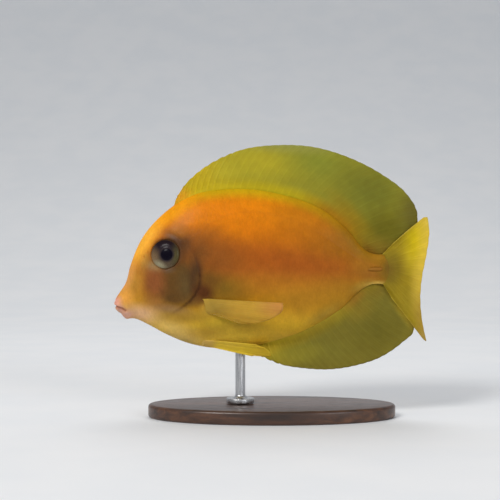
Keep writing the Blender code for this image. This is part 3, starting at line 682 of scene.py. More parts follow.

# %% Clouds of colour on the skin, some of them painted light and shade
SPRAYS = (  # what, x, z, reach in x, reach in z, turn, colour, strength
    ("rear bronze", 82, 10, 38, 20, 0, (142, 94, 14), 1.2),
    ("rear underside", 74, -8, 22, 12, 0, (150, 108, 26), 0.8),
    ("shoulder orange", 33, 17, 22, 9, 0, (218, 122, 8), 0.8),
    ("breast gold", 33, -17, 16, 8, 0, (182, 152, 42), 0.9),
    ("belly gold", 52, -16, 18, 7, 12, (204, 160, 42), 0.6),
    ("flank streak", 50, 3.0, 44, 6.0, -8, (158, 80, 22), 0.75),
    ("upper rear", 56, 17, 17, 10, 10, (182, 110, 14), 0.7),
    ("flank brown", 30, 3.0, 13.5, 10.5, 0, (138, 78, 26), 1.1),
    ("gill top", 26.4, 6.5, 3.8, 6.5, 0, (112, 68, 28), 0.7),
    ("olive flank", 32.5, -5.2, 12, 6, 0, (122, 92, 24), 0.9),
    ("olive below", 34, -8.4, 8, 3.4, 0, (126, 98, 30), 0.4),
    ("cheek brown", 18.4, -3.8, 12.6, 13.8, 0, (96, 66, 28), 1.5),
    # painted shade behind and above the eye
    ("painted shade behind the eye", 20.5, 7.2, 8.6, 6.4, 35, (106, 64, 28), 1.15),
    ("shoulder shade", 28.2, 10.4, 8, 5.5, 0, (144, 82, 26), 0.6),
    ("eye shade", 17.2, 5.8, 7.0, 6.6, 0, (84, 52, 28), 1.0),
    # painted shade on the brow, which also dims the brow's highlight
    ("brow", 18.4, 11.4, 6.0, 4.0, 20, (156, 98, 32), 0.7),
    # painted shade hugging the top of the eye
    ("painted shade on the upper lid", 18.2, 8.4, 4.2, 2.8, -34, (74, 46, 28), 1.0),
    # painted shade over the eye
    ("painted shade over the eye", 16.9, 10.4, 4.8, 2.4, -20, (88, 60, 40), 0.36),
    ("under the eye", 16.0, 0.2, 3.6, 1.6, 0, (112, 98, 84), 0.35),
    ("in front of the eye", 9.4, 2.4, 3.6, 5.4, 0, (176, 132, 58), 0.8),
    ("lower lid", 12.2, 1.0, 3.0, 2.6, -30, (164, 142, 94), 1.2),
    ("cheek red", 12.0, -3.4, 5.7, 8.6, 0, (136, 79, 40), 1.1),
    ("gill cover", 21.8, -4.5, 4.2, 8, 10, (94, 74, 40), 0.8),
    # painted shade in the gill opening
    ("painted shade at the gill opening", 24.4, -2.0, 3.4, 10.5, 0, (76, 51, 28), 1.1),
    ("under the gill", 25.6, -8.6, 6.5, 3.6, 0, (104, 70, 28), 0.9),
    # gold of the forehead, with a painted highlight along its edge
    ("forehead gold and highlight", 8.8, 9.8, 19, 5.2, 58, (248, 176, 58), 1.3),
    ("nape gold", 17.5, 17.5, 13, 4.0, 36, (238, 154, 18), 1.0),
    ("snout tan", 5.8, -4.0, 4.8, 8.4, -10, (178, 126, 46), 1.0),
    ("bridge orange", 3.4, -3.0, 3.2, 9, -20, (230, 161, 88), 0.8),
    ("lip gold", 3.4, -8.2, 3.8, 4.4, 0, (230, 162, 70), 1.0),
    ("lip pink", 0.0, -9.8, 3.4, 3.6, 0, (226, 160, 138), 1.2),
    ("jaw shade", 12.0, -9.8, 7.0, 3.0, -12, (150, 100, 52), 0.6),
    ("jaw grey", 17.0, -11.8, 9.0, 2.3, -6, (138, 108, 78), 0.7),
    ("chin", 8.6, -13.2, 9.5, 4.2, -14, (202, 158, 116), 1.1),
    ("lower lip", 3.4, -13.4, 4.0, 2.6, 0, (198, 150, 128), 1.2),
    ("under the mouth", 1.7, -11.6, 2.2, 2.0, 0, (178, 132, 130), 0.8),
    ("throat gold", 17.5, -17.4, 12, 4.8, -20, (208, 172, 90), 1.0),
    ("throat shade", 21, -13.8, 13, 3.4, 0, (150, 116, 44), 0.8),
    ("breast edge", 20, -20.6, 10, 2.8, -8, (192, 162, 92), 0.8),
    ("belly shade", 28, -18.4, 11, 4.0, 0, (148, 110, 42), 0.55),
    # painted light lifting the shade along the belly's lower edge and under the pelvic fin
    ("painted light on the belly rim", 38, -22.6, 16, 3.8, 4, (214, 182, 54), 1.0),
    ("side shade", 41, -15.6, 9, 3, 8, (164, 120, 32), 0.25),
    # painted light lifting the pectoral fin's shadow on the flank
    ("painted light beneath the pectoral", 38.5, -16.8, 11, 2.8, 0, (180, 144, 46), 0.7),
    # painted light lifting the shade where the belly curves under
    ("painted light where the belly ends", 43.5, -21.2, 6, 2.6, 8, (216, 170, 46), 1.0),
    ("low flank", 56, -10, 13, 7, 0, (162, 112, 28), 0.7),
    ("low rim", 62.5, -13.6, 10, 3.2, 32, (150, 119, 42), 0.8),
    ("behind the gill", 28.6, -3.2, 6, 5.4, 0, (108, 72, 24), 1.0),
    ("axil spot", 26.8, -6.4, 5.0, 4.0, -20, (84, 46, 18), 1.2),
    ("fin root gold", 28.4, -11.4, 4.0, 3.0, 0, (172, 138, 56), 0.8),
    ("stalk orange", 75.5, 1.4, 8, 6.0, 0, (160, 107, 30), 0.8),
    ("stalk shade", 77.5, -1.2, 7, 2.4, 0, (132, 86, 30), 0.6),
    ("stalk rim", 74.5, -4.8, 6, 2.8, 22, (164, 128, 46), 0.9),
    ("stalk above", 79.4, 4.2, 4.6, 2.4, 0, (184, 128, 44), 0.7),
    ("stalk corner", 75.1, 5.7, 3.4, 1.8, -40, (104, 72, 14), 0.6),
    # painted light lifting the shade on the stalk's underside
    ("painted light below the stalk", 79.8, -4.8, 6, 2.1, 0, (245, 210, 106), 1.1),
    ("tail root", 84.5, 0, 8, 11, 0, (128, 98, 24), 1.7),
    ("root spot", 82.4, 0.4, 3.6, 4.6, 0, (112, 80, 28), 0.5),
)
colour = skin_finish.airbrush(ground, SPRAYS)
print("clouds on the skin:", len(SPRAYS))

# %% Fringe along the back, and painted lines, most of them painted shade
FRINGE = (("rear fringe", 84, 6, 54, 40, 0, (146, 104, 14), 1.3),)
# The gill slit, the cheek's crease, the mouth's slit and the ring round the eye are painted shade; the
# side line is the fish's own marking.
LINES = (  # mark on the mesh, colour, strength
    ("gill_slit_shade", (74, 42, 22), 0.6),
    ("cheek_crease_shade", (84, 58, 30), 0.15),
    ("mouth_slit_shade", (130, 74, 44), 0.7),
    ("side_line", (160, 88, 24), 0.12),
    ("eye_ring_shade", (92, 62, 38), 0.6),
)

fringe = skin_finish.airbrush(linear(184, 164, 16), FRINGE)
fringe_share = skin_finish.math("MULTIPLY", skin_finish.mark("back_fringe"), 0.7)
colour = skin_finish.mix(fringe_share, colour, fringe)
for mark, tint, strength in LINES:
    share = skin_finish.math("MULTIPLY", skin_finish.mark(mark), strength, clamp=True)
    colour = skin_finish.mix(share, colour, linear(*tint))
print("painted lines:", len(LINES))

# %% Mottling and fine scales
SCALES_PER_METRE = (2600, 1700, 2000)
SCALE_TILT = 38  # degrees
SCALE_DEPTH = 0.05
SWELL_DEPTH = 0.12
SKIN_NODES = ("head", "lower_jaw", "gill_cover_left", "gill_cover_right", "torso", "tail_stalk")

mottle = skin_finish.speckle(3.2, 4.0, 0.92, 1.06)
grain = skin_finish.speckle(0.5, 2.0, 0.955, 1.045, (1.0, 1.0, 2.2))
tilted = skin_finish.node("ShaderNodeMapping", {
    "Vector": skin_finish.place,
    "Rotation": (0, math.radians(SCALE_TILT), 0),
    "Scale": SCALES_PER_METRE,
})
scale_inputs = {"Vector": tilted.outputs[0], "Scale": 1.0, "Smoothness": 0.35}
scales = skin_finish.node("ShaderNodeTexVoronoi", scale_inputs, feature="SMOOTH_F1")
scaly = skin_finish.math("SUBTRACT", 1.0, skin_finish.mark("bare_skin"))
scale_height = skin_finish.math("MULTIPLY", scales.outputs["Distance"], scaly)
swells = skin_finish.bump(skin_finish.noise(1.6, 3.0), SWELL_DEPTH)
skin_finish.set({
    "Base Color": skin_finish.toned(colour, skin_finish.math("MULTIPLY", mottle, grain)),
    "Normal": skin_finish.bump(scale_height, SCALE_DEPTH, swells),
    "Roughness": skin_finish.speckle(2.2, 3.0, 0.36, 0.5),
    "Coat Weight": 0.03,
    "Coat Roughness": 0.2,
    "Subsurface Weight": 0.12,
    "Subsurface Radius": (1.0, 0.45, 0.2),
    "Subsurface Scale": 1.2 * MM,
})
finish_piece(skin, "skin", skin_finish, "skin", *SKIN_NODES)

# %% [markdown]
# ## Eyes
# The eye is a flattened ball that stands a little proud of the skin, with a round dark pupil in an
# iris that is dark above and pale below. A primitive ball is squashed into a lens. A formula of the
# distance from the pupil's centre then lifts the pupil a little and sinks a ring round it, so that it
# catches the light as the real one does.

# %% Width of the body at any place
HALVINGS = 40  # of the range that is searched for a place


def section_where(still_ahead):
    """The body's section at which still_ahead(section) turns false, from the snout on."""
    low, high = 0.0, 1.0
    for _ in range(HALVINGS):
        share = (low + high) / 2
        row = BODY.at(share)[0]
        low, high = (share, high) if still_ahead(row) else (low, share)
    return row


def flank(at_x, at_z):
    """Half width of the body at a point seen from the side."""
    row = section_where(
        lambda row: (at_x - row[2]) * (row[1] - row[3]) > (at_z - row[3]) * (row[0] - row[2])
    )
    centre = np.array((row[0] + row[2], row[1] + row[3])) / 2
    reach = np.array((row[0] - row[2], row[1] - row[3])) / 2
    height = (np.array((at_x, at_z)) - centre) @ reach / (reach @ reach)
    return float(half_width(row, np.array(height))) if abs(height) < 1 else 0.0


def flank_normal(at_x, at_z, side):
    step = 0.5
    along = (flank(at_x + step, at_z) - flank(at_x - step, at_z)) / (2 * step)
    up = (flank(at_x, at_z + step) - flank(at_x, at_z - step)) / (2 * step)
    return Vector((-along, side, -up)).normalized()


print("the body is", round(2 * flank(EYE_X, EYE_Z), 1), "mm wide at the eyes")

# %% Eye shape
EYE_BULGE = 1.45  # of the lens outside
EYE_DEPTH = 2.3  # and inside the head
EYE_SINK = 0.55
PUPIL_RADIUS = 1.75
PUPIL_X, PUPIL_Z = 15.95, 4.7
PUPIL_LIFT = 0.1
RING_RADIUS, RING_DEPTH, RING_WIDTH = 1.25, 0.1, 0.44  # the radius is given in pupils


def make_eye(side):
    bpy.ops.object.select_all(action="DESELECT")
    bpy.ops.mesh.primitive_uv_sphere_add(segments=64, ring_count=32, radius=1.0)
    eye = bpy.context.object
    points = vertices_of(eye)
    front = points[:, 2] > 0
    points[:, 2] = points[:, 2] * np.where(front, EYE_BULGE, EYE_DEPTH) - EYE_SINK
    points[:, :2] *= EYE_RADIUS
    set_vertices(eye, points * MM)
    outward = flank_normal(EYE_X, EYE_Z, side)
    centre = Vector(placed((EYE_X, side * flank(EYE_X, EYE_Z), EYE_Z))[0])
    turn = outward.to_track_quat("Z", "X").to_matrix().to_4x4()
    eye.data.transform(Matrix.Translation(centre) @ turn)
    seen = on_fish(vertices_of(eye))
    from_pupil = np.hypot(seen[:, 0] - PUPIL_X, seen[:, 2] - PUPIL_Z)
    lift = PUPIL_LIFT * (1 - ramp(PUPIL_RADIUS * 0.9, PUPIL_RADIUS * 1.08, from_pupil))
    lift -= RING_DEPTH * bell(from_pupil - PUPIL_RADIUS * RING_RADIUS, RING_WIDTH)
    lift = np.where(front, lift, 0)
    set_vertices(eye, vertices_of(eye) + np.array(outward) * (lift * MM)[:, None])
    return eye


eyes = [make_eye(side) for side, _ in SIDES]
print("each eye has", len(eyes[0].data.vertices), "points")

# %% Eye finish
IRIS = (
    (0.0, (96, 82, 62)),
    (0.15, (84, 70, 54)),
    (0.35, (70, 60, 50)),
    (0.55, (54, 42, 40)),
    (0.72, (34, 24, 32)),
    (1.0, (32, 20, 22)),
)
IRIS_SPRAYS = (
    ("front edge", 11.6, 3.2, 3.0, 5.5, 0, (122, 98, 70), 1.0),
    ("rear edge", 19.0, 3.9, 2.6, 6.0, 0, (78, 70, 42), 1.0),
    ("pale crescent", 13.8, 1.3, 3.4, 2.0, -32, (140, 132, 106), 1.2),
)
LID = (("front of the lid", 10.8, 3.6, 5, 8, 0, (166, 130, 84), 1.2),)
LID_REACH = 8.6
PUPIL_RIM = 2.15

eye_finish = Finish("wet_eye", roughness=0.24, sheen=0.05)


def eye_disc(radius, softness):
    """1 inside a circle round the pupil's centre, 0 outside."""
    cloud = eye_finish.cloud(PUPIL_X, PUPIL_Z, radius * 2, radius * 2)
    return eye_finish.spread(cloud, 0.5 - softness, 0.5 + softness)


iris = eye_finish.colour_ramp(eye_finish.height(0.4, 9.2), IRIS)
iris = eye_finish.airbrush(iris, IRIS_SPRAYS)
iris = eye_finish.toned(iris, eye_finish.speckle(0.35, 3.0, 0.82, 1.12, ends=(0.25, 0.75)))
iris = eye_finish.mix(eye_disc(PUPIL_RIM, 0.14), iris, linear(46, 38, 40))
iris = eye_finish.mix(eye_disc(PUPIL_RADIUS, 0.06), iris, linear(12, 8, 20))
lid = eye_finish.spread(eye_finish.cloud(EYE_X, EYE_Z, LID_REACH, LID_REACH), 0.47, 0.56)
iris = eye_finish.mix(lid, eye_finish.airbrush(linear(100, 70, 40), LID), iris)
eye_finish.set({"Base Color": iris, "Coat Weight": 0.03, "Coat Roughness": 0.06})
for eye, (_, word) in zip(eyes, SIDES):
    finish_piece(eye, "eye_dressed_" + word, eye_finish, "eye", "eye_" + word)

# %% [markdown]
# ## Fins
# A fin is a thin web stretched over rays. The spines at the front are single stiff rods, and each soft
# ray forks twice on its way to the margin. A primitive grid is bent onto the fin's middle sheet, and
# Solidify then gives it a thickness that each point sets for itself: thick on a ray, thin in the web.

# %% The sheet that a fin follows
DROOP = 3.6  # how far the bow turns over at the last rays


class FinSheet:
    """The middle sheet of a fin. Each row holds a ray's root (x, y, z) and its tip (x, y, z)."""

    def __init__(self, rows, bow, straight=False, drooping=False):
        self.line = SmoothRows(rows, straight)
        self.bow = np.array(bow)
        self.drooping = drooping  # the last rays bow the other way, down onto the tail's stalk

    def point(self, share, out):
        row = self.line.at(share)
        run = row[:, 3:] - row[:, :3]
        droop = 1 - DROOP * ramp(0.88, 1.0, share) if self.drooping else 1.0
        bend = (self.length(share) * 4 * out * (1 - out) * droop)[:, None] * self.bow
        return row[:, :3] + run * out[:, None] + bend

    def length(self, share):
        row = self.line.at(share)
        return np.linalg.norm(row[:, 3:] - row[:, :3], axis=1)


print("a fin sheet knows:", [name for name in vars(FinSheet) if not name.startswith("_")])

# %% Rays that fork
FIRST_FORK, SECOND_FORK = 0.13, 0.055  # how far the branches part, in gaps between rays
BRANCH_WIDTH, BRANCH_TAPER = 0.105, 0.045
SPINE_WIDTH, SPINE_TAPER = 0.17, 0.06


def ray_profile(across, out, spiny):
    """How much of a ray's ridge is under a point: across is -0.5 to 0.5 between the webs' middles."""
    first = FIRST_FORK * ramp(0.35, 0.75, out)
    second = SECOND_FORK * ramp(0.68, 0.98, out)
    soft = np.zeros_like(out)
    for a in (-1, 1):
        for b in (-1, 1):
            branch = bell(across - a * first - b * second, BRANCH_WIDTH - BRANCH_TAPER * out)
            soft = np.maximum(soft, branch)
    return np.where(spiny, bell(across, SPINE_WIDTH - SPINE_TAPER * out), soft)


print("the outer branches end", round(2 * (FIRST_FORK + SECOND_FORK), 2), "of a gap apart")

# %% A rayed fin
WEB_HALF = 0.16  # half thickness of the web at its root, and half of that at the margin
NOTCH_SPINY, NOTCH_SOFT = 0.45, 0.09
TUCK = 1.8  # how much deeper the last rays of the long fins are rooted
SLIMMING = 0.8  # share of the root's flesh that is gone beside the tail's stalk


def rayed_fin(sheet, rays, spines, sink, flesh, fade, levels=30, per_ray=12, ripple=0.15, ridge=0.11):
    """A finely rayed fin. sink carries its root this far into the body, in millimetres."""
    columns = (rays - 1) * per_ray + 1
    bpy.ops.object.select_all(action="DESELECT")
    bpy.ops.mesh.primitive_grid_add(x_subdivisions=columns - 1, y_subdivisions=levels, size=1.0)
    fin = bpy.context.object
    share, out, _ = (vertices_of(fin) + 0.5).T
    place = share * (rays - 1)
    nearest = np.round(place)
    across = place - nearest
    spiny = nearest < spines
    between = ramp(0.12, 0.5, np.abs(across))
    notch = np.where(spiny & (place < spines - 0.5), NOTCH_SPINY * between**0.8, NOTCH_SOFT * between)
    length = sheet.length(share)
    tuck = TUCK * ramp(0.82, 1.0, share) if sheet.drooping else 0.0
    start = -(sink + tuck) / length
    run = start + (1 - notch / length - start) * out**0.94
    points = sheet.point(share, run)
    points[:, 1] += ripple * np.sin(share * 19 + out * 3.1) * out**1.5
    set_vertices(fin, placed(points))
    profile = ray_profile(across, out, spiny)
    slimming = 1 - SLIMMING * ramp(0.45, 0.85, share) if sheet.drooping else 1.0
    rooted = ramp(0.0, fade, out)
    root_half = flesh * slimming * (1 - rooted) + WEB_HALF * (1 - 0.5 * out)
    half = root_half + profile * np.where(spiny, 2 * ridge, ridge) * (1 - 0.45 * out) * rooted
    rim = np.maximum(ramp(0.58, 0.98, out), 0.6 - ramp(0.0, 0.05, np.minimum(share, 1 - share)))
    marks = {"ray": profile, "outwards": out, "rise": run * length / 10, "rim": rim, "downwards": share}
    for name, values in marks.items():
        add_mark(fin, name, values)
    thickest = half.max()
    group = fin.vertex_groups.new(name="thickness")
    for index, weight in enumerate(half / thickest):
        group.add([index], float(weight), "REPLACE")
    wall = fin.modifiers.new("wall", "SOLIDIFY")
    wall.thickness = 2 * thickest * MM
    wall.offset = 0.0
    wall.vertex_group = group.name
    wall.use_even_offset = False
    apply_all(fin)
    fin.vertex_groups.clear()
    face_outwards(fin)
    return fin


print("a web is", 2 * WEB_HALF, "mm thick at its root and", WEB_HALF, "mm at its margin")

# %% [markdown]
# The roots of the fins on the back and belly lie along the body's outline, so they are read from the
# body's own sections. Each row then needs only the x of its root and the place of its tip.

# %% Rows of the fins on back and belly
DORSAL_ROWS = (  # root x, tip x, tip z, and how far the tip leans to the fish's right
    (17.8, 19.0, 22.4, 0.0),
    (19.6, 21.2, 25.8, 0.0),
    (22.6, 24.8, 29.3, 0.0),
    (27.0, 31.0, 33.3, 0.0),
    (32.8, 38.8, 36.3, 0.0),
    (40.6, 49.2, 37.5, 0.0),
    (48.6, 59.6, 36.9, 0.0),
    (56.2, 69.6, 34.0, 0.0),
    (63.0, 79.6, 28.9, 0.0),
    (68.3, 87.4, 22.7, 0.3),
    (71.6, 90.5, 17.3, 0.9),
    (73.4, 90.3, 12.6, 1.5),
    (74.9, 87.2, 8.2, 1.6),
    (76.4, 83.0, 4.9, 1.5),
)
ANAL_ROWS = (
    (43.0, 43.9, -26.0, 0.0),
    (46.0, 49.0, -28.1, 0.0),
    (51.0, 56.8, -29.5, 0.0),
    (56.2, 64.4, -29.8, 0.0),
    (61.4, 72.2, -28.6, 0.0),
    (66.2, 79.4, -26.2, 0.0),
    (70.2, 86.0, -21.7, 0.4),
    (72.6, 89.5, -18.1, 1.0),
    (74.2, 88.7, -13.8, 1.5),
    (75.6, 85.6, -9.4, 1.6),
    (76.8, 82.6, -5.2, 1.5),
)


def edge_height(at_x, side):
    """Height of the body's back (side 1) or belly (side -1) at x."""
    column = 0 if side > 0 else 2
    return section_where(lambda row: row[column] < at_x)[column + 1]


def median_rows(rows, side):
    return [(root, 0, edge_height(root, side), tip_x, lean, tip_z) for root, tip_x, tip_z, lean in rows]


print("the back fin begins", round(edge_height(DORSAL_ROWS[0][0], 1), 1), "mm above the axis")

# %% Rows of the tail
TAIL_MARGIN = (
    (93.4, 15.9), (93.95, 12.8), (93.2, 5.0), (91.8, -2.2), (91.35, -9.0), (91.9, -15.4), (93.1, -21.3),
)
TAIL_ROOT_X, TAIL_ROOT_BULGE = 81.5, 0.4
TAIL_ROOT_TOP, TAIL_ROOT_FOOT = 4.9, -4.4
TAIL_LONG_ROWS = 15
TAIL_SHORT_ABOVE = ((80.7, 5.3, 83.2, 7.9), (81.15, 5.12, 87.7, 12.0), (81.4, 4.98, 92.3, 15.8))
TAIL_SHORT_BELOW = ((81.4, -4.5, 92.4, -20.9), (81.1, -4.65, 87.3, -14.1), (80.7, -4.8, 82.9, -8.4))


def tail_rows():
    margin = SmoothRows(TAIL_MARGIN)
    rows = list(TAIL_SHORT_ABOVE)
    for share in np.linspace(0, 1, TAIL_LONG_ROWS):
        root_x = TAIL_ROOT_X + TAIL_ROOT_BULGE * 4 * share * (1 - share)
        root_z = TAIL_ROOT_TOP + (TAIL_ROOT_FOOT - TAIL_ROOT_TOP) * share
        rows.append((root_x, root_z, *margin.at(share)[0]))
    rows.extend(TAIL_SHORT_BELOW)
    return [(root_x, 0, root_z, tip_x, 0, tip_z) for root_x, root_z, tip_x, tip_z in rows]


print("rows of the tail:", len(tail_rows()))

# %% Rows of the paired fins
PECTORAL_ROWS = (  # root x, distance from the middle and z, then the same for the tip
    (26.5, 6.0, -8.3, 50.2, 13.4, -9.3),
    (26.9, 5.95, -9.4, 49.9, 12.6, -11.6),
    (27.3, 5.85, -10.5, 47.4, 11.6, -13.6),
    (27.6, 5.7, -11.5, 43.4, 10.4, -15.1),
    (27.7, 5.5, -12.4, 37.8, 9.0, -15.6),
)
PELVIC_ROWS = (
    (27.3, 1.15, -22.55, 41.0, 3.3, -25.5),
    (27.7, 1.75, -22.0, 46.8, 4.1, -25.1),
    (28.0, 2.3, -21.4, 45.8, 4.9, -23.6),
    (28.3, 2.85, -20.8, 42.2, 5.7, -21.9),
)


def paired_rows(rows, side):
    mirror = np.array((1, side, 1, 1, side, 1))
    return np.array(rows) * mirror


print("left pectoral fin's first row:", paired_rows(PECTORAL_ROWS, -1)[0])

# %% [markdown]
# The fins are olive and yellow: yellow where the back fin begins and along its root, darker and
# greener to the rear, and bright lemon on the upper half of the tail. The web between the rays is a
# little darker than the rays themselves, so the rays show as fine pale lines. Only the pectoral fins
# are thin enough to let a little of the flank show through towards their lower edge.

# %% Clouds of colour on back and belly fin, a few of them painted light
DORSAL_SPRAYS = (
    ("leading yellow", 25, 27, 17, 9, 45, (184, 162, 34), 1.2),
    ("front light", 34, 29.5, 8, 6, 20, (190, 174, 46), 0.7),
    ("middle olive", 43, 32, 22, 10, 0, (168, 156, 40), 1.1),
    ("upper green", 61, 33, 17, 9, -15, (126, 132, 44), 0.8),
    ("top haze", 52, 38, 24, 4.5, -4, (140, 140, 66), 1.1),
    ("rear olive", 77, 24, 18, 14, -30, (112, 112, 36), 1.1),
    ("rear root", 81, 12, 13, 10, 0, (104, 98, 24), 1.1),
    ("rear edge", 89, 17, 7, 13, 0, (100, 94, 36), 1.0),
    ("stalk brown", 79, 5.5, 9, 6.5, 0, (120, 100, 28), 1.2),
    ("root brown", 71, 15.5, 14, 4.6, -48, (146, 112, 14), 0.7),
    ("front orange", 20.0, 21.4, 5, 5, 0, (220, 152, 44), 0.7),
)
DORSAL_ROOT = (
    ("front", 22, 22, 26, 14, 0, (188, 164, 24), 1.2),
    ("front orange", 20.0, 21.4, 6, 5, 0, (220, 152, 30), 0.8),
    ("middle", 66, 15, 17, 14, 0, (158, 110, 12), 1.2),
    ("rear", 82, 6, 18, 17, 0, (116, 80, 12), 1.4),
)
ANAL_SPRAYS = (
    ("front yellow", 48, -25, 13, 5.5, 0, (160, 146, 42), 1.1),
    ("middle olive", 62, -25, 16, 7, 0, (122, 114, 42), 1.0),
    ("rear olive", 80, -18, 14, 10, 30, (106, 98, 32), 1.0),
    ("stalk olive", 77.5, -5.5, 7.5, 4.5, 0, (124, 106, 34), 1.1),
    ("front olive", 55.5, -24.4, 9, 5.5, 0, (144, 134, 44), 0.9),
    ("rear warm", 73.5, -11.5, 8, 5, 35, (136, 114, 34), 0.6),
    # painted light against the tail's shadow on this fin
    ("painted light beside the tail", 86.4, -12.6, 9.5, 2.4, -55, (166, 146, 46), 0.8),
    # painted light against the pelvic fin's shadow at this fin's front
    ("painted light at the anal fin's front", 45.5, -23, 5, 4, 0, (186, 160, 46), 1.0),
)
ANAL_ROOT = (
    ("middle", 62, -18, 15, 12, 0, (147, 126, 34), 1.1),
    ("rear", 80, -8, 24, 16, 0, (128, 112, 30), 1.3),
    ("upper brown", 72, -8.6, 7, 5, 35, (152, 104, 32), 0.7),
    # painted light against the shade under the tail's stalk
    ("painted light by the stalk's underside", 79.5, -6.4, 6, 3.4, 0, (142, 124, 38), 0.9),
)
print("clouds on the back fin:", len(DORSAL_SPRAYS) + len(DORSAL_ROOT))

# %% Clouds of colour on the tail and the paired fins, one of them painted light
TAIL_SPRAYS = (
    ("middle gold", 88.4, 3.4, 5.5, 7.5, 0, (184, 162, 40), 0.7),
    ("upper lemon", 92.8, 8, 8.4, 13, 14, (204, 180, 14), 1.2),
    ("lower olive", 88, -9, 8, 9, -30, (146, 126, 32), 1.0),
    ("lower tip", 93.4, -20, 4, 5, 0, (158, 142, 104), 0.9),
    ("upper tip", 94, 15, 2.5, 4, 0, (200, 180, 80), 0.8),
    ("root olive", 82, 0, 7.6, 9, 0, (132, 111, 28), 1.5),
    ("root spot", 81.4, 0.0, 4.0, 4.4, 0, (110, 80, 28), 0.6),
)
TAIL_EDGE = (("lower edge", 92, -17, 8, 15, 0, (160, 132, 52), 1.3),)
PECTORAL_SPRAYS = (
    ("root gold", 29, -11, 10, 6, 0, (172, 140, 58), 1.0),
    ("tip tan", 49, -10, 9, 6, 0, (204, 144, 72), 1.0),
)
PELVIC_SPRAYS = (
    ("pelvic yellow", 36, -23.5, 14, 5.0, 0, (220, 187, 54), 1.6),
    ("pelvic rear", 46.5, -24, 9, 4, 0, (200, 168, 48), 1.2),
    ("pelvic root", 27, -21.5, 5.5, 5, 0, (196, 160, 84), 1.5),
    # painted light against the belly's shade over the fin's top edge
    ("painted light on the pelvic top", 35, -21.6, 9, 2.4, 0, (222, 188, 66), 1.0),
)
print("clouds on the tail:", len(TAIL_SPRAYS) + len(TAIL_EDGE))

# %% Finish of a fin
RAY_LIGHT, WEB_SHADE = 0.035, 0.045  # how much paler a ray is and how much darker the web
SEE_THROUGH_CONTRAST = 0.35
JOINT_WAVE = 150.0  # the rays are jointed like bamboo
EDGE_STRENGTH = 0.8


def fin_finish(name, base, sprays, root=None, root_sprays=(), web=1.0, edge=None, edge_sprays=()):
    """web is how opaque the fin's thinnest part is; root and edge are colours of their own."""
    made = Finish(name, roughness=0.5, sheen=0.07)
    colour = made.airbrush(linear(*base), sprays)
    ray, outwards = made.mark("ray"), made.mark("outwards")
    if root:
        near_root = made.spread(made.mark("rise"), 0.03, 0.42, 0.95, 0.0)
        colour = made.mix(near_root, colour, made.airbrush(linear(*root), root_sprays))
    if edge:
        near_edge = made.math("MULTIPLY", made.mark("rim"), EDGE_STRENGTH)
        colour = made.mix(near_edge, colour, made.airbrush(linear(*edge), edge_sprays))
    contrast = 1.0 if web == 1 else SEE_THROUGH_CONTRAST
    light = made.spread(ray, 0.1, 0.9, 1 - WEB_SHADE * contrast, 1 + RAY_LIGHT * contrast)
    tone = made.math("MULTIPLY", light, made.speckle(2.4, 3.0, 0.95, 1.04))
    relief = made.bump(made.noise(0.5, 2.0), 0.025)
    if web == 1:
        joints = made.math("SINE", made.math("MULTIPLY", outwards, JOINT_WAVE))
        relief = made.bump(made.math("MULTIPLY", joints, ray), 0.008, relief)
    else:
        fleshy = made.spread(outwards, 0.08, 0.5, 1.0, 0.0)
        thinning = made.spread(made.mark("downwards"), 0.1, 1.0, 0.9, web)
        made.set({"Alpha": made.math("MAXIMUM", fleshy, thinning)})
    made.set({
        "Base Color": made.toned(colour, tone),
        "Normal": relief,
        "Subsurface Weight": 0.3,
        "Subsurface Radius": (1.0, 0.8, 0.3),
        "Subsurface Scale": 0.8 * MM,
    })
    return made


dorsal_finish = fin_finish("back_fin_web", (140, 134, 40), DORSAL_SPRAYS, (178, 158, 22), DORSAL_ROOT)
anal_finish = fin_finish("belly_fin_web", (118, 108, 38), ANAL_SPRAYS, (178, 153, 38), ANAL_ROOT)
tail_finish = fin_finish(
    "tail_web", (152, 130, 26), TAIL_SPRAYS, edge=(208, 178, 66), edge_sprays=TAIL_EDGE
)
pectoral_finish = fin_finish("pectoral_web", (198, 156, 58), PECTORAL_SPRAYS, web=0.4)
pelvic_finish = fin_finish("pelvic_web", (198, 156, 58), PELVIC_SPRAYS)
print("finishes:", [material.name for material in bpy.data.materials if "web" in material.name])

# %% Make the fins on back, belly and tail
dorsal_sheet = FinSheet(median_rows(DORSAL_ROWS, 1), (-0.045, 0, 0.045), drooping=True)
dorsal = rayed_fin(dorsal_sheet, rays=36, spines=8, sink=0.6, flesh=0.85, fade=0.2, per_ray=10)
finish_piece(dorsal, "dorsal_fin_dressed", dorsal_finish, "fin", "dorsal_fin")
anal_sheet = FinSheet(median_rows(ANAL_ROWS, -1), (-0.035, 0, -0.045), drooping=True)
anal = rayed_fin(anal_sheet, rays=27, spines=3, sink=0.6, flesh=0.85, fade=0.2)
finish_piece(anal, "anal_fin_dressed", anal_finish, "fin", "anal_fin")
tail_sheet = FinSheet(tail_rows(), (0, 0, 0), straight=True)
tail = rayed_fin(tail_sheet, rays=20, spines=0, sink=0.9, flesh=0.75, fade=0.34, per_ray=14)
finish_piece(tail, "tail_fin_dressed", tail_finish, "tail", "tail_fin")

# %% Make the paired fins
PECTORAL_BOW, PELVIC_BOW = 0.05, 0.03

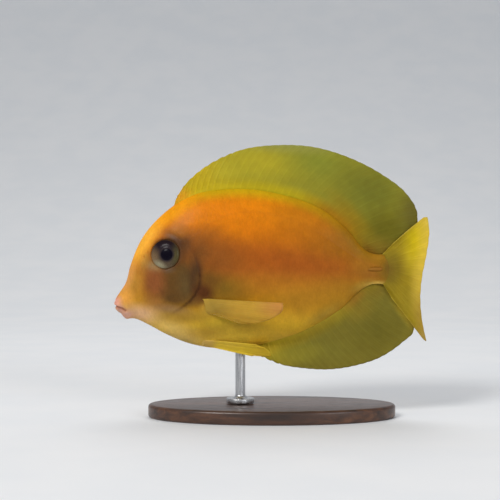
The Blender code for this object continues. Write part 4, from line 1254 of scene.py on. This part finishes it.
for side, word in SIDES:
    sheet = FinSheet(paired_rows(PECTORAL_ROWS, side), (0, side * PECTORAL_BOW, 0))
    fin = rayed_fin(sheet, 15, 1, sink=2.4, flesh=0.55, fade=0.3, ripple=0.1, ridge=0.06)
    dressed, node = "pectoral_fin_dressed_" + word, "pectoral_fin_" + word
    finish_piece(fin, dressed, pectoral_finish, "paired_fin", node)
    sheet = FinSheet(paired_rows(PELVIC_ROWS, side), (0, side * PELVIC_BOW, 0))
    fin = rayed_fin(sheet, 6, 1, sink=1.6, flesh=0.45, fade=0.25, levels=28, ripple=0.05, ridge=0.06)
    dressed, node = "pelvic_fin_dressed_" + word, "pelvic_fin_" + word
    finish_piece(fin, dressed, pelvic_finish, "paired_fin", node)

# %% [markdown]
# ## Tail blades
# The surgeonfish is named for a sharp blade on each side of the tail's stalk, which lies in a slot
# with its point forward. A primitive ball is drawn out flat along the stalk, with a slight curve.

# %% Shape of a tail blade
BLADE_TIP_X, BLADE_ROOT_X = 75.6, 79.9
BLADE_Z = 0.3
BLADE_HALF_WIDTH, BLADE_HALF_HEIGHT = 0.3, 0.55
BLADE_TILT = 4  # degrees, the point away from the skin
BLADE_GAP = 0.02  # between the skin and the blade's middle sheet, at its root
BLADE_CURVE = 0.12
BLUNT_FROM = 0.86  # share of the length where the root begins to round off
STATIONS = (74, 76, 78, 80, 82)  # x of the places where the flank is measured
LAST_FLANK_X = 81.2  # the body ends just behind this


def make_blade(side):
    bpy.ops.object.select_all(action="DESELECT")
    bpy.ops.mesh.primitive_uv_sphere_add(segments=24, ring_count=24, radius=1.0)
    blade = bpy.context.object
    ball_x, ball_y, pole = vertices_of(blade).T
    along = (1 - pole) / 2
    ring = np.maximum(np.hypot(ball_x, ball_y), 1e-9)
    round_x, round_y = ball_x / ring, ball_y / ring
    swell =np.sqrt(np.maximum(np.sin(math.pi * np.clip(along * 0.72, 0, 1)), 0))
    blunt = np.clip(along - BLUNT_FROM, 0, 1 - BLUNT_FROM) / (1 - BLUNT_FROM)
    fullness = np.where(ring < 1e-6, 0, swell * np.sqrt(1 - blunt * 0.9))
    at_x = BLADE_TIP_X + (BLADE_ROOT_X - BLADE_TIP_X) * along
    lift = math.tan(math.radians(BLADE_TILT)) * (BLADE_ROOT_X - at_x)
    skin_y = np.interp(at_x, STATIONS, [flank(min(value, LAST_FLANK_X), BLADE_Z) for value in STATIONS])
    y = side * (skin_y + BLADE_GAP + lift) + BLADE_HALF_WIDTH * fullness * round_y
    up = BLADE_Z + BLADE_HALF_HEIGHT * fullness * round_x - BLADE_CURVE * (1 - along) ** 2
    set_vertices(blade, placed(np.column_stack((at_x, y, up))))
    face_outwards(blade)
    return blade


blades = [make_blade(side) for side, _ in SIDES]
print("each blade is", round(BLADE_ROOT_X - BLADE_TIP_X, 1), "mm long")

# %% Finish of the tail blades
blade_finish = Finish("blade_bone", roughness=0.5, sheen=0.05)
blade_tone = blade_finish.speckle(0.9, 3.0, stretch=(3, 1, 1))
blade_finish.set({
    "Base Color": blade_finish.mix(blade_tone, linear(142, 94, 32), linear(150, 101, 38)),
    "Normal": blade_finish.bump(blade_finish.noise(0.3), 0.02),
})
for blade, (_, word) in zip(blades, SIDES):
    finish_piece(blade, "tail_blade_dressed_" + word, blade_finish, "blade", "tail_blade_" + word)

# %% [markdown]
# ## The stand
# A museum would mount so small a fish on one thin rod over a turned wooden foot. The rod and the foot
# of the plain model keep their sizes. Finer copies are modelled here: a cylinder is inset and
# extruded into rod and collar, and an oval slab gets a soft bevel.

# %% Rod with its collar
rod_low, rod_high = (Vector(corner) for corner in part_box("stand_rod"))
ROD_RADIUS = 1.5 * MM
COLLAR_HEIGHT = 1.4 * MM
COLLAR_STEP = 0.8 * MM  # width of the slope between collar and rod
COLLAR_RISE = 0.7 * MM
collar_radius = (rod_high.x - rod_low.x) / 2
collar_place = ((rod_high.x + rod_low.x) / 2, 0, rod_low.z + COLLAR_HEIGHT / 2)
rod_rise = rod_high.z - rod_low.z - COLLAR_HEIGHT - COLLAR_RISE


def soften_edges(obj, width, segments, angle):
    """Rounds the edges that turn by more than an angle in degrees."""
    edge = obj.modifiers.new("edge", "BEVEL")
    edge.width = width
    edge.segments = segments
    edge.limit_method = "ANGLE"
    edge.angle_limit = math.radians(angle)
    apply_all(obj)


bpy.ops.object.select_all(action="DESELECT")
bpy.ops.mesh.primitive_cylinder_add(
    vertices=96, radius=collar_radius, depth=COLLAR_HEIGHT, location=collar_place
)
rod = bpy.context.object
bpy.ops.object.transform_apply(location=True, rotation=True, scale=True)
bpy.ops.object.mode_set(mode="EDIT")
bpy.ops.mesh.select_all(action="DESELECT")
bpy.ops.mesh.select_mode(type="FACE")
mesh = bmesh.from_edit_mesh(rod.data)
for face in mesh.faces:
    face.select = face.normal.z > 0.9
bmesh.update_edit_mesh(rod.data)
bpy.ops.mesh.inset(thickness=collar_radius - ROD_RADIUS - COLLAR_STEP)
bpy.ops.mesh.inset(thickness=COLLAR_STEP)
bpy.ops.transform.translate(value=(0, 0, COLLAR_RISE))
bpy.ops.mesh.extrude_region_move(TRANSFORM_OT_translate={"value": (0, 0, rod_rise)})
bpy.ops.object.mode_set(mode="OBJECT")
soften_edges(rod, 0.3 * MM, 4, 35)
print("rod stands", round((rod_high.z - rod_low.z) / MM, 1), "mm tall")

# %% Oval foot
base_low, base_high = (Vector(corner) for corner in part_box("stand_base"))
size = base_high - base_low
bpy.ops.object.select_all(action="DESELECT")
bpy.ops.mesh.primitive_cylinder_add(vertices=160, radius=1.0, depth=1.0)
foot = bpy.context.object
foot.data.transform(Matrix.Diagonal((size.x / 2, size.y / 2, size.z, 1)))
foot.data.transform(Matrix.Translation((base_low + base_high) / 2))
soften_edges(foot, 0.9 * MM, 6, 60)
print("foot is", (size / MM).to_tuple(1), "mm")

# %% Brushed steel
steel_finish = Finish("brushed_rod", roughness=0.3, metallic=1.0)
brushing = steel_finish.speckle(0.12, 2.0, stretch=(1, 1, 40))
steel_finish.set({
    "Base Color": steel_finish.mix(brushing, linear(176, 177, 180), linear(205, 205, 206)),
    "Roughness": steel_finish.spread(brushing, 0, 1, 0.24, 0.36),
    "Normal": steel_finish.bump(brushing, 0.01),
})
finish_piece(rod, "rod_dressed", steel_finish, "steel", "stand_rod")

# %% Dark walnut
GRAIN_COLOURS = ((0.3, (44, 28, 20)), (0.5, (74, 46, 30)), (0.7, (102, 66, 42)))
SHARP_ANGLE = 35  # degrees: edges that turn more than this stay crisp on rod and foot

wood_finish = Finish("dark_walnut", roughness=0.38)
grain = wood_finish.noise(2.2, 6.0, (14, 1, 1), distortion=0.6)
pores = wood_finish.noise(0.25, 2.0, (16, 1, 1))
wood = wood_finish.colour_ramp(grain, GRAIN_COLOURS)
dark_pores = wood_finish.spread(pores, 0.55, 0.75, 0.0, 0.5)
wood_finish.set({
    "Base Color": wood_finish.mix(dark_pores, wood, linear(34, 21, 15)),
    "Roughness": wood_finish.spread(pores, 0.4, 0.8, 0.34, 0.55),
    "Normal": wood_finish.bump(pores, 0.03),
    "Coat Weight": 0.2,
    "Coat Roughness": 0.2,
})
finish_piece(foot, "foot_dressed", wood_finish, "wood", "stand_base")
for piece in (rod, foot):
    pick(piece)
    bpy.ops.object.shade_smooth_by_angle(angle=math.radians(SHARP_ANGLE))

# %% [markdown]
# ## Floor and backdrop
# One sheet of pale paper lies under the stand and curves up behind it, so that no corner shows. A
# grid is bent along its length into that sweep.

# %% Paper sweep
SWEEP = 3.0  # metres, from the stand to each end of the paper
CURVE = 1.2  # metres, radius of the sweep
BEHIND = 0.45  # metres from the stand to where the sweep begins

bpy.ops.object.select_all(action="DESELECT")
bpy.ops.mesh.primitive_grid_add(x_subdivisions=4, y_subdivisions=160, size=1.0)
paper = bpy.context.object
across, along, _ = vertices_of(paper).T
run = (along + 0.5) * (2 * SWEEP) - SWEEP
turn = np.clip((run - BEHIND) / CURVE, 0, math.pi / 2)
rise = np.maximum(run - BEHIND - CURVE * math.pi / 2, 0)
y = np.minimum(run, BEHIND) + CURVE * np.sin(turn)
height = CURVE * (1 - np.cos(turn)) + rise
set_vertices(paper, np.column_stack((across * 2 * SWEEP, y, height)))
paper.name = "paper_sweep"
pick(paper)
bpy.ops.object.shade_smooth()
paper_finish = Finish("pale_paper", roughness=0.9)
fleck = paper_finish.speckle(40, 3.0)
paper_finish.set({"Base Color": paper_finish.mix(fleck, linear(234, 236, 239), linear(238, 239, 241))})
paper.data.materials.append(paper_finish.material)
print("the paper rises", round(height.max(), 2), "m behind the stand")

# %% [markdown]
# ## Close
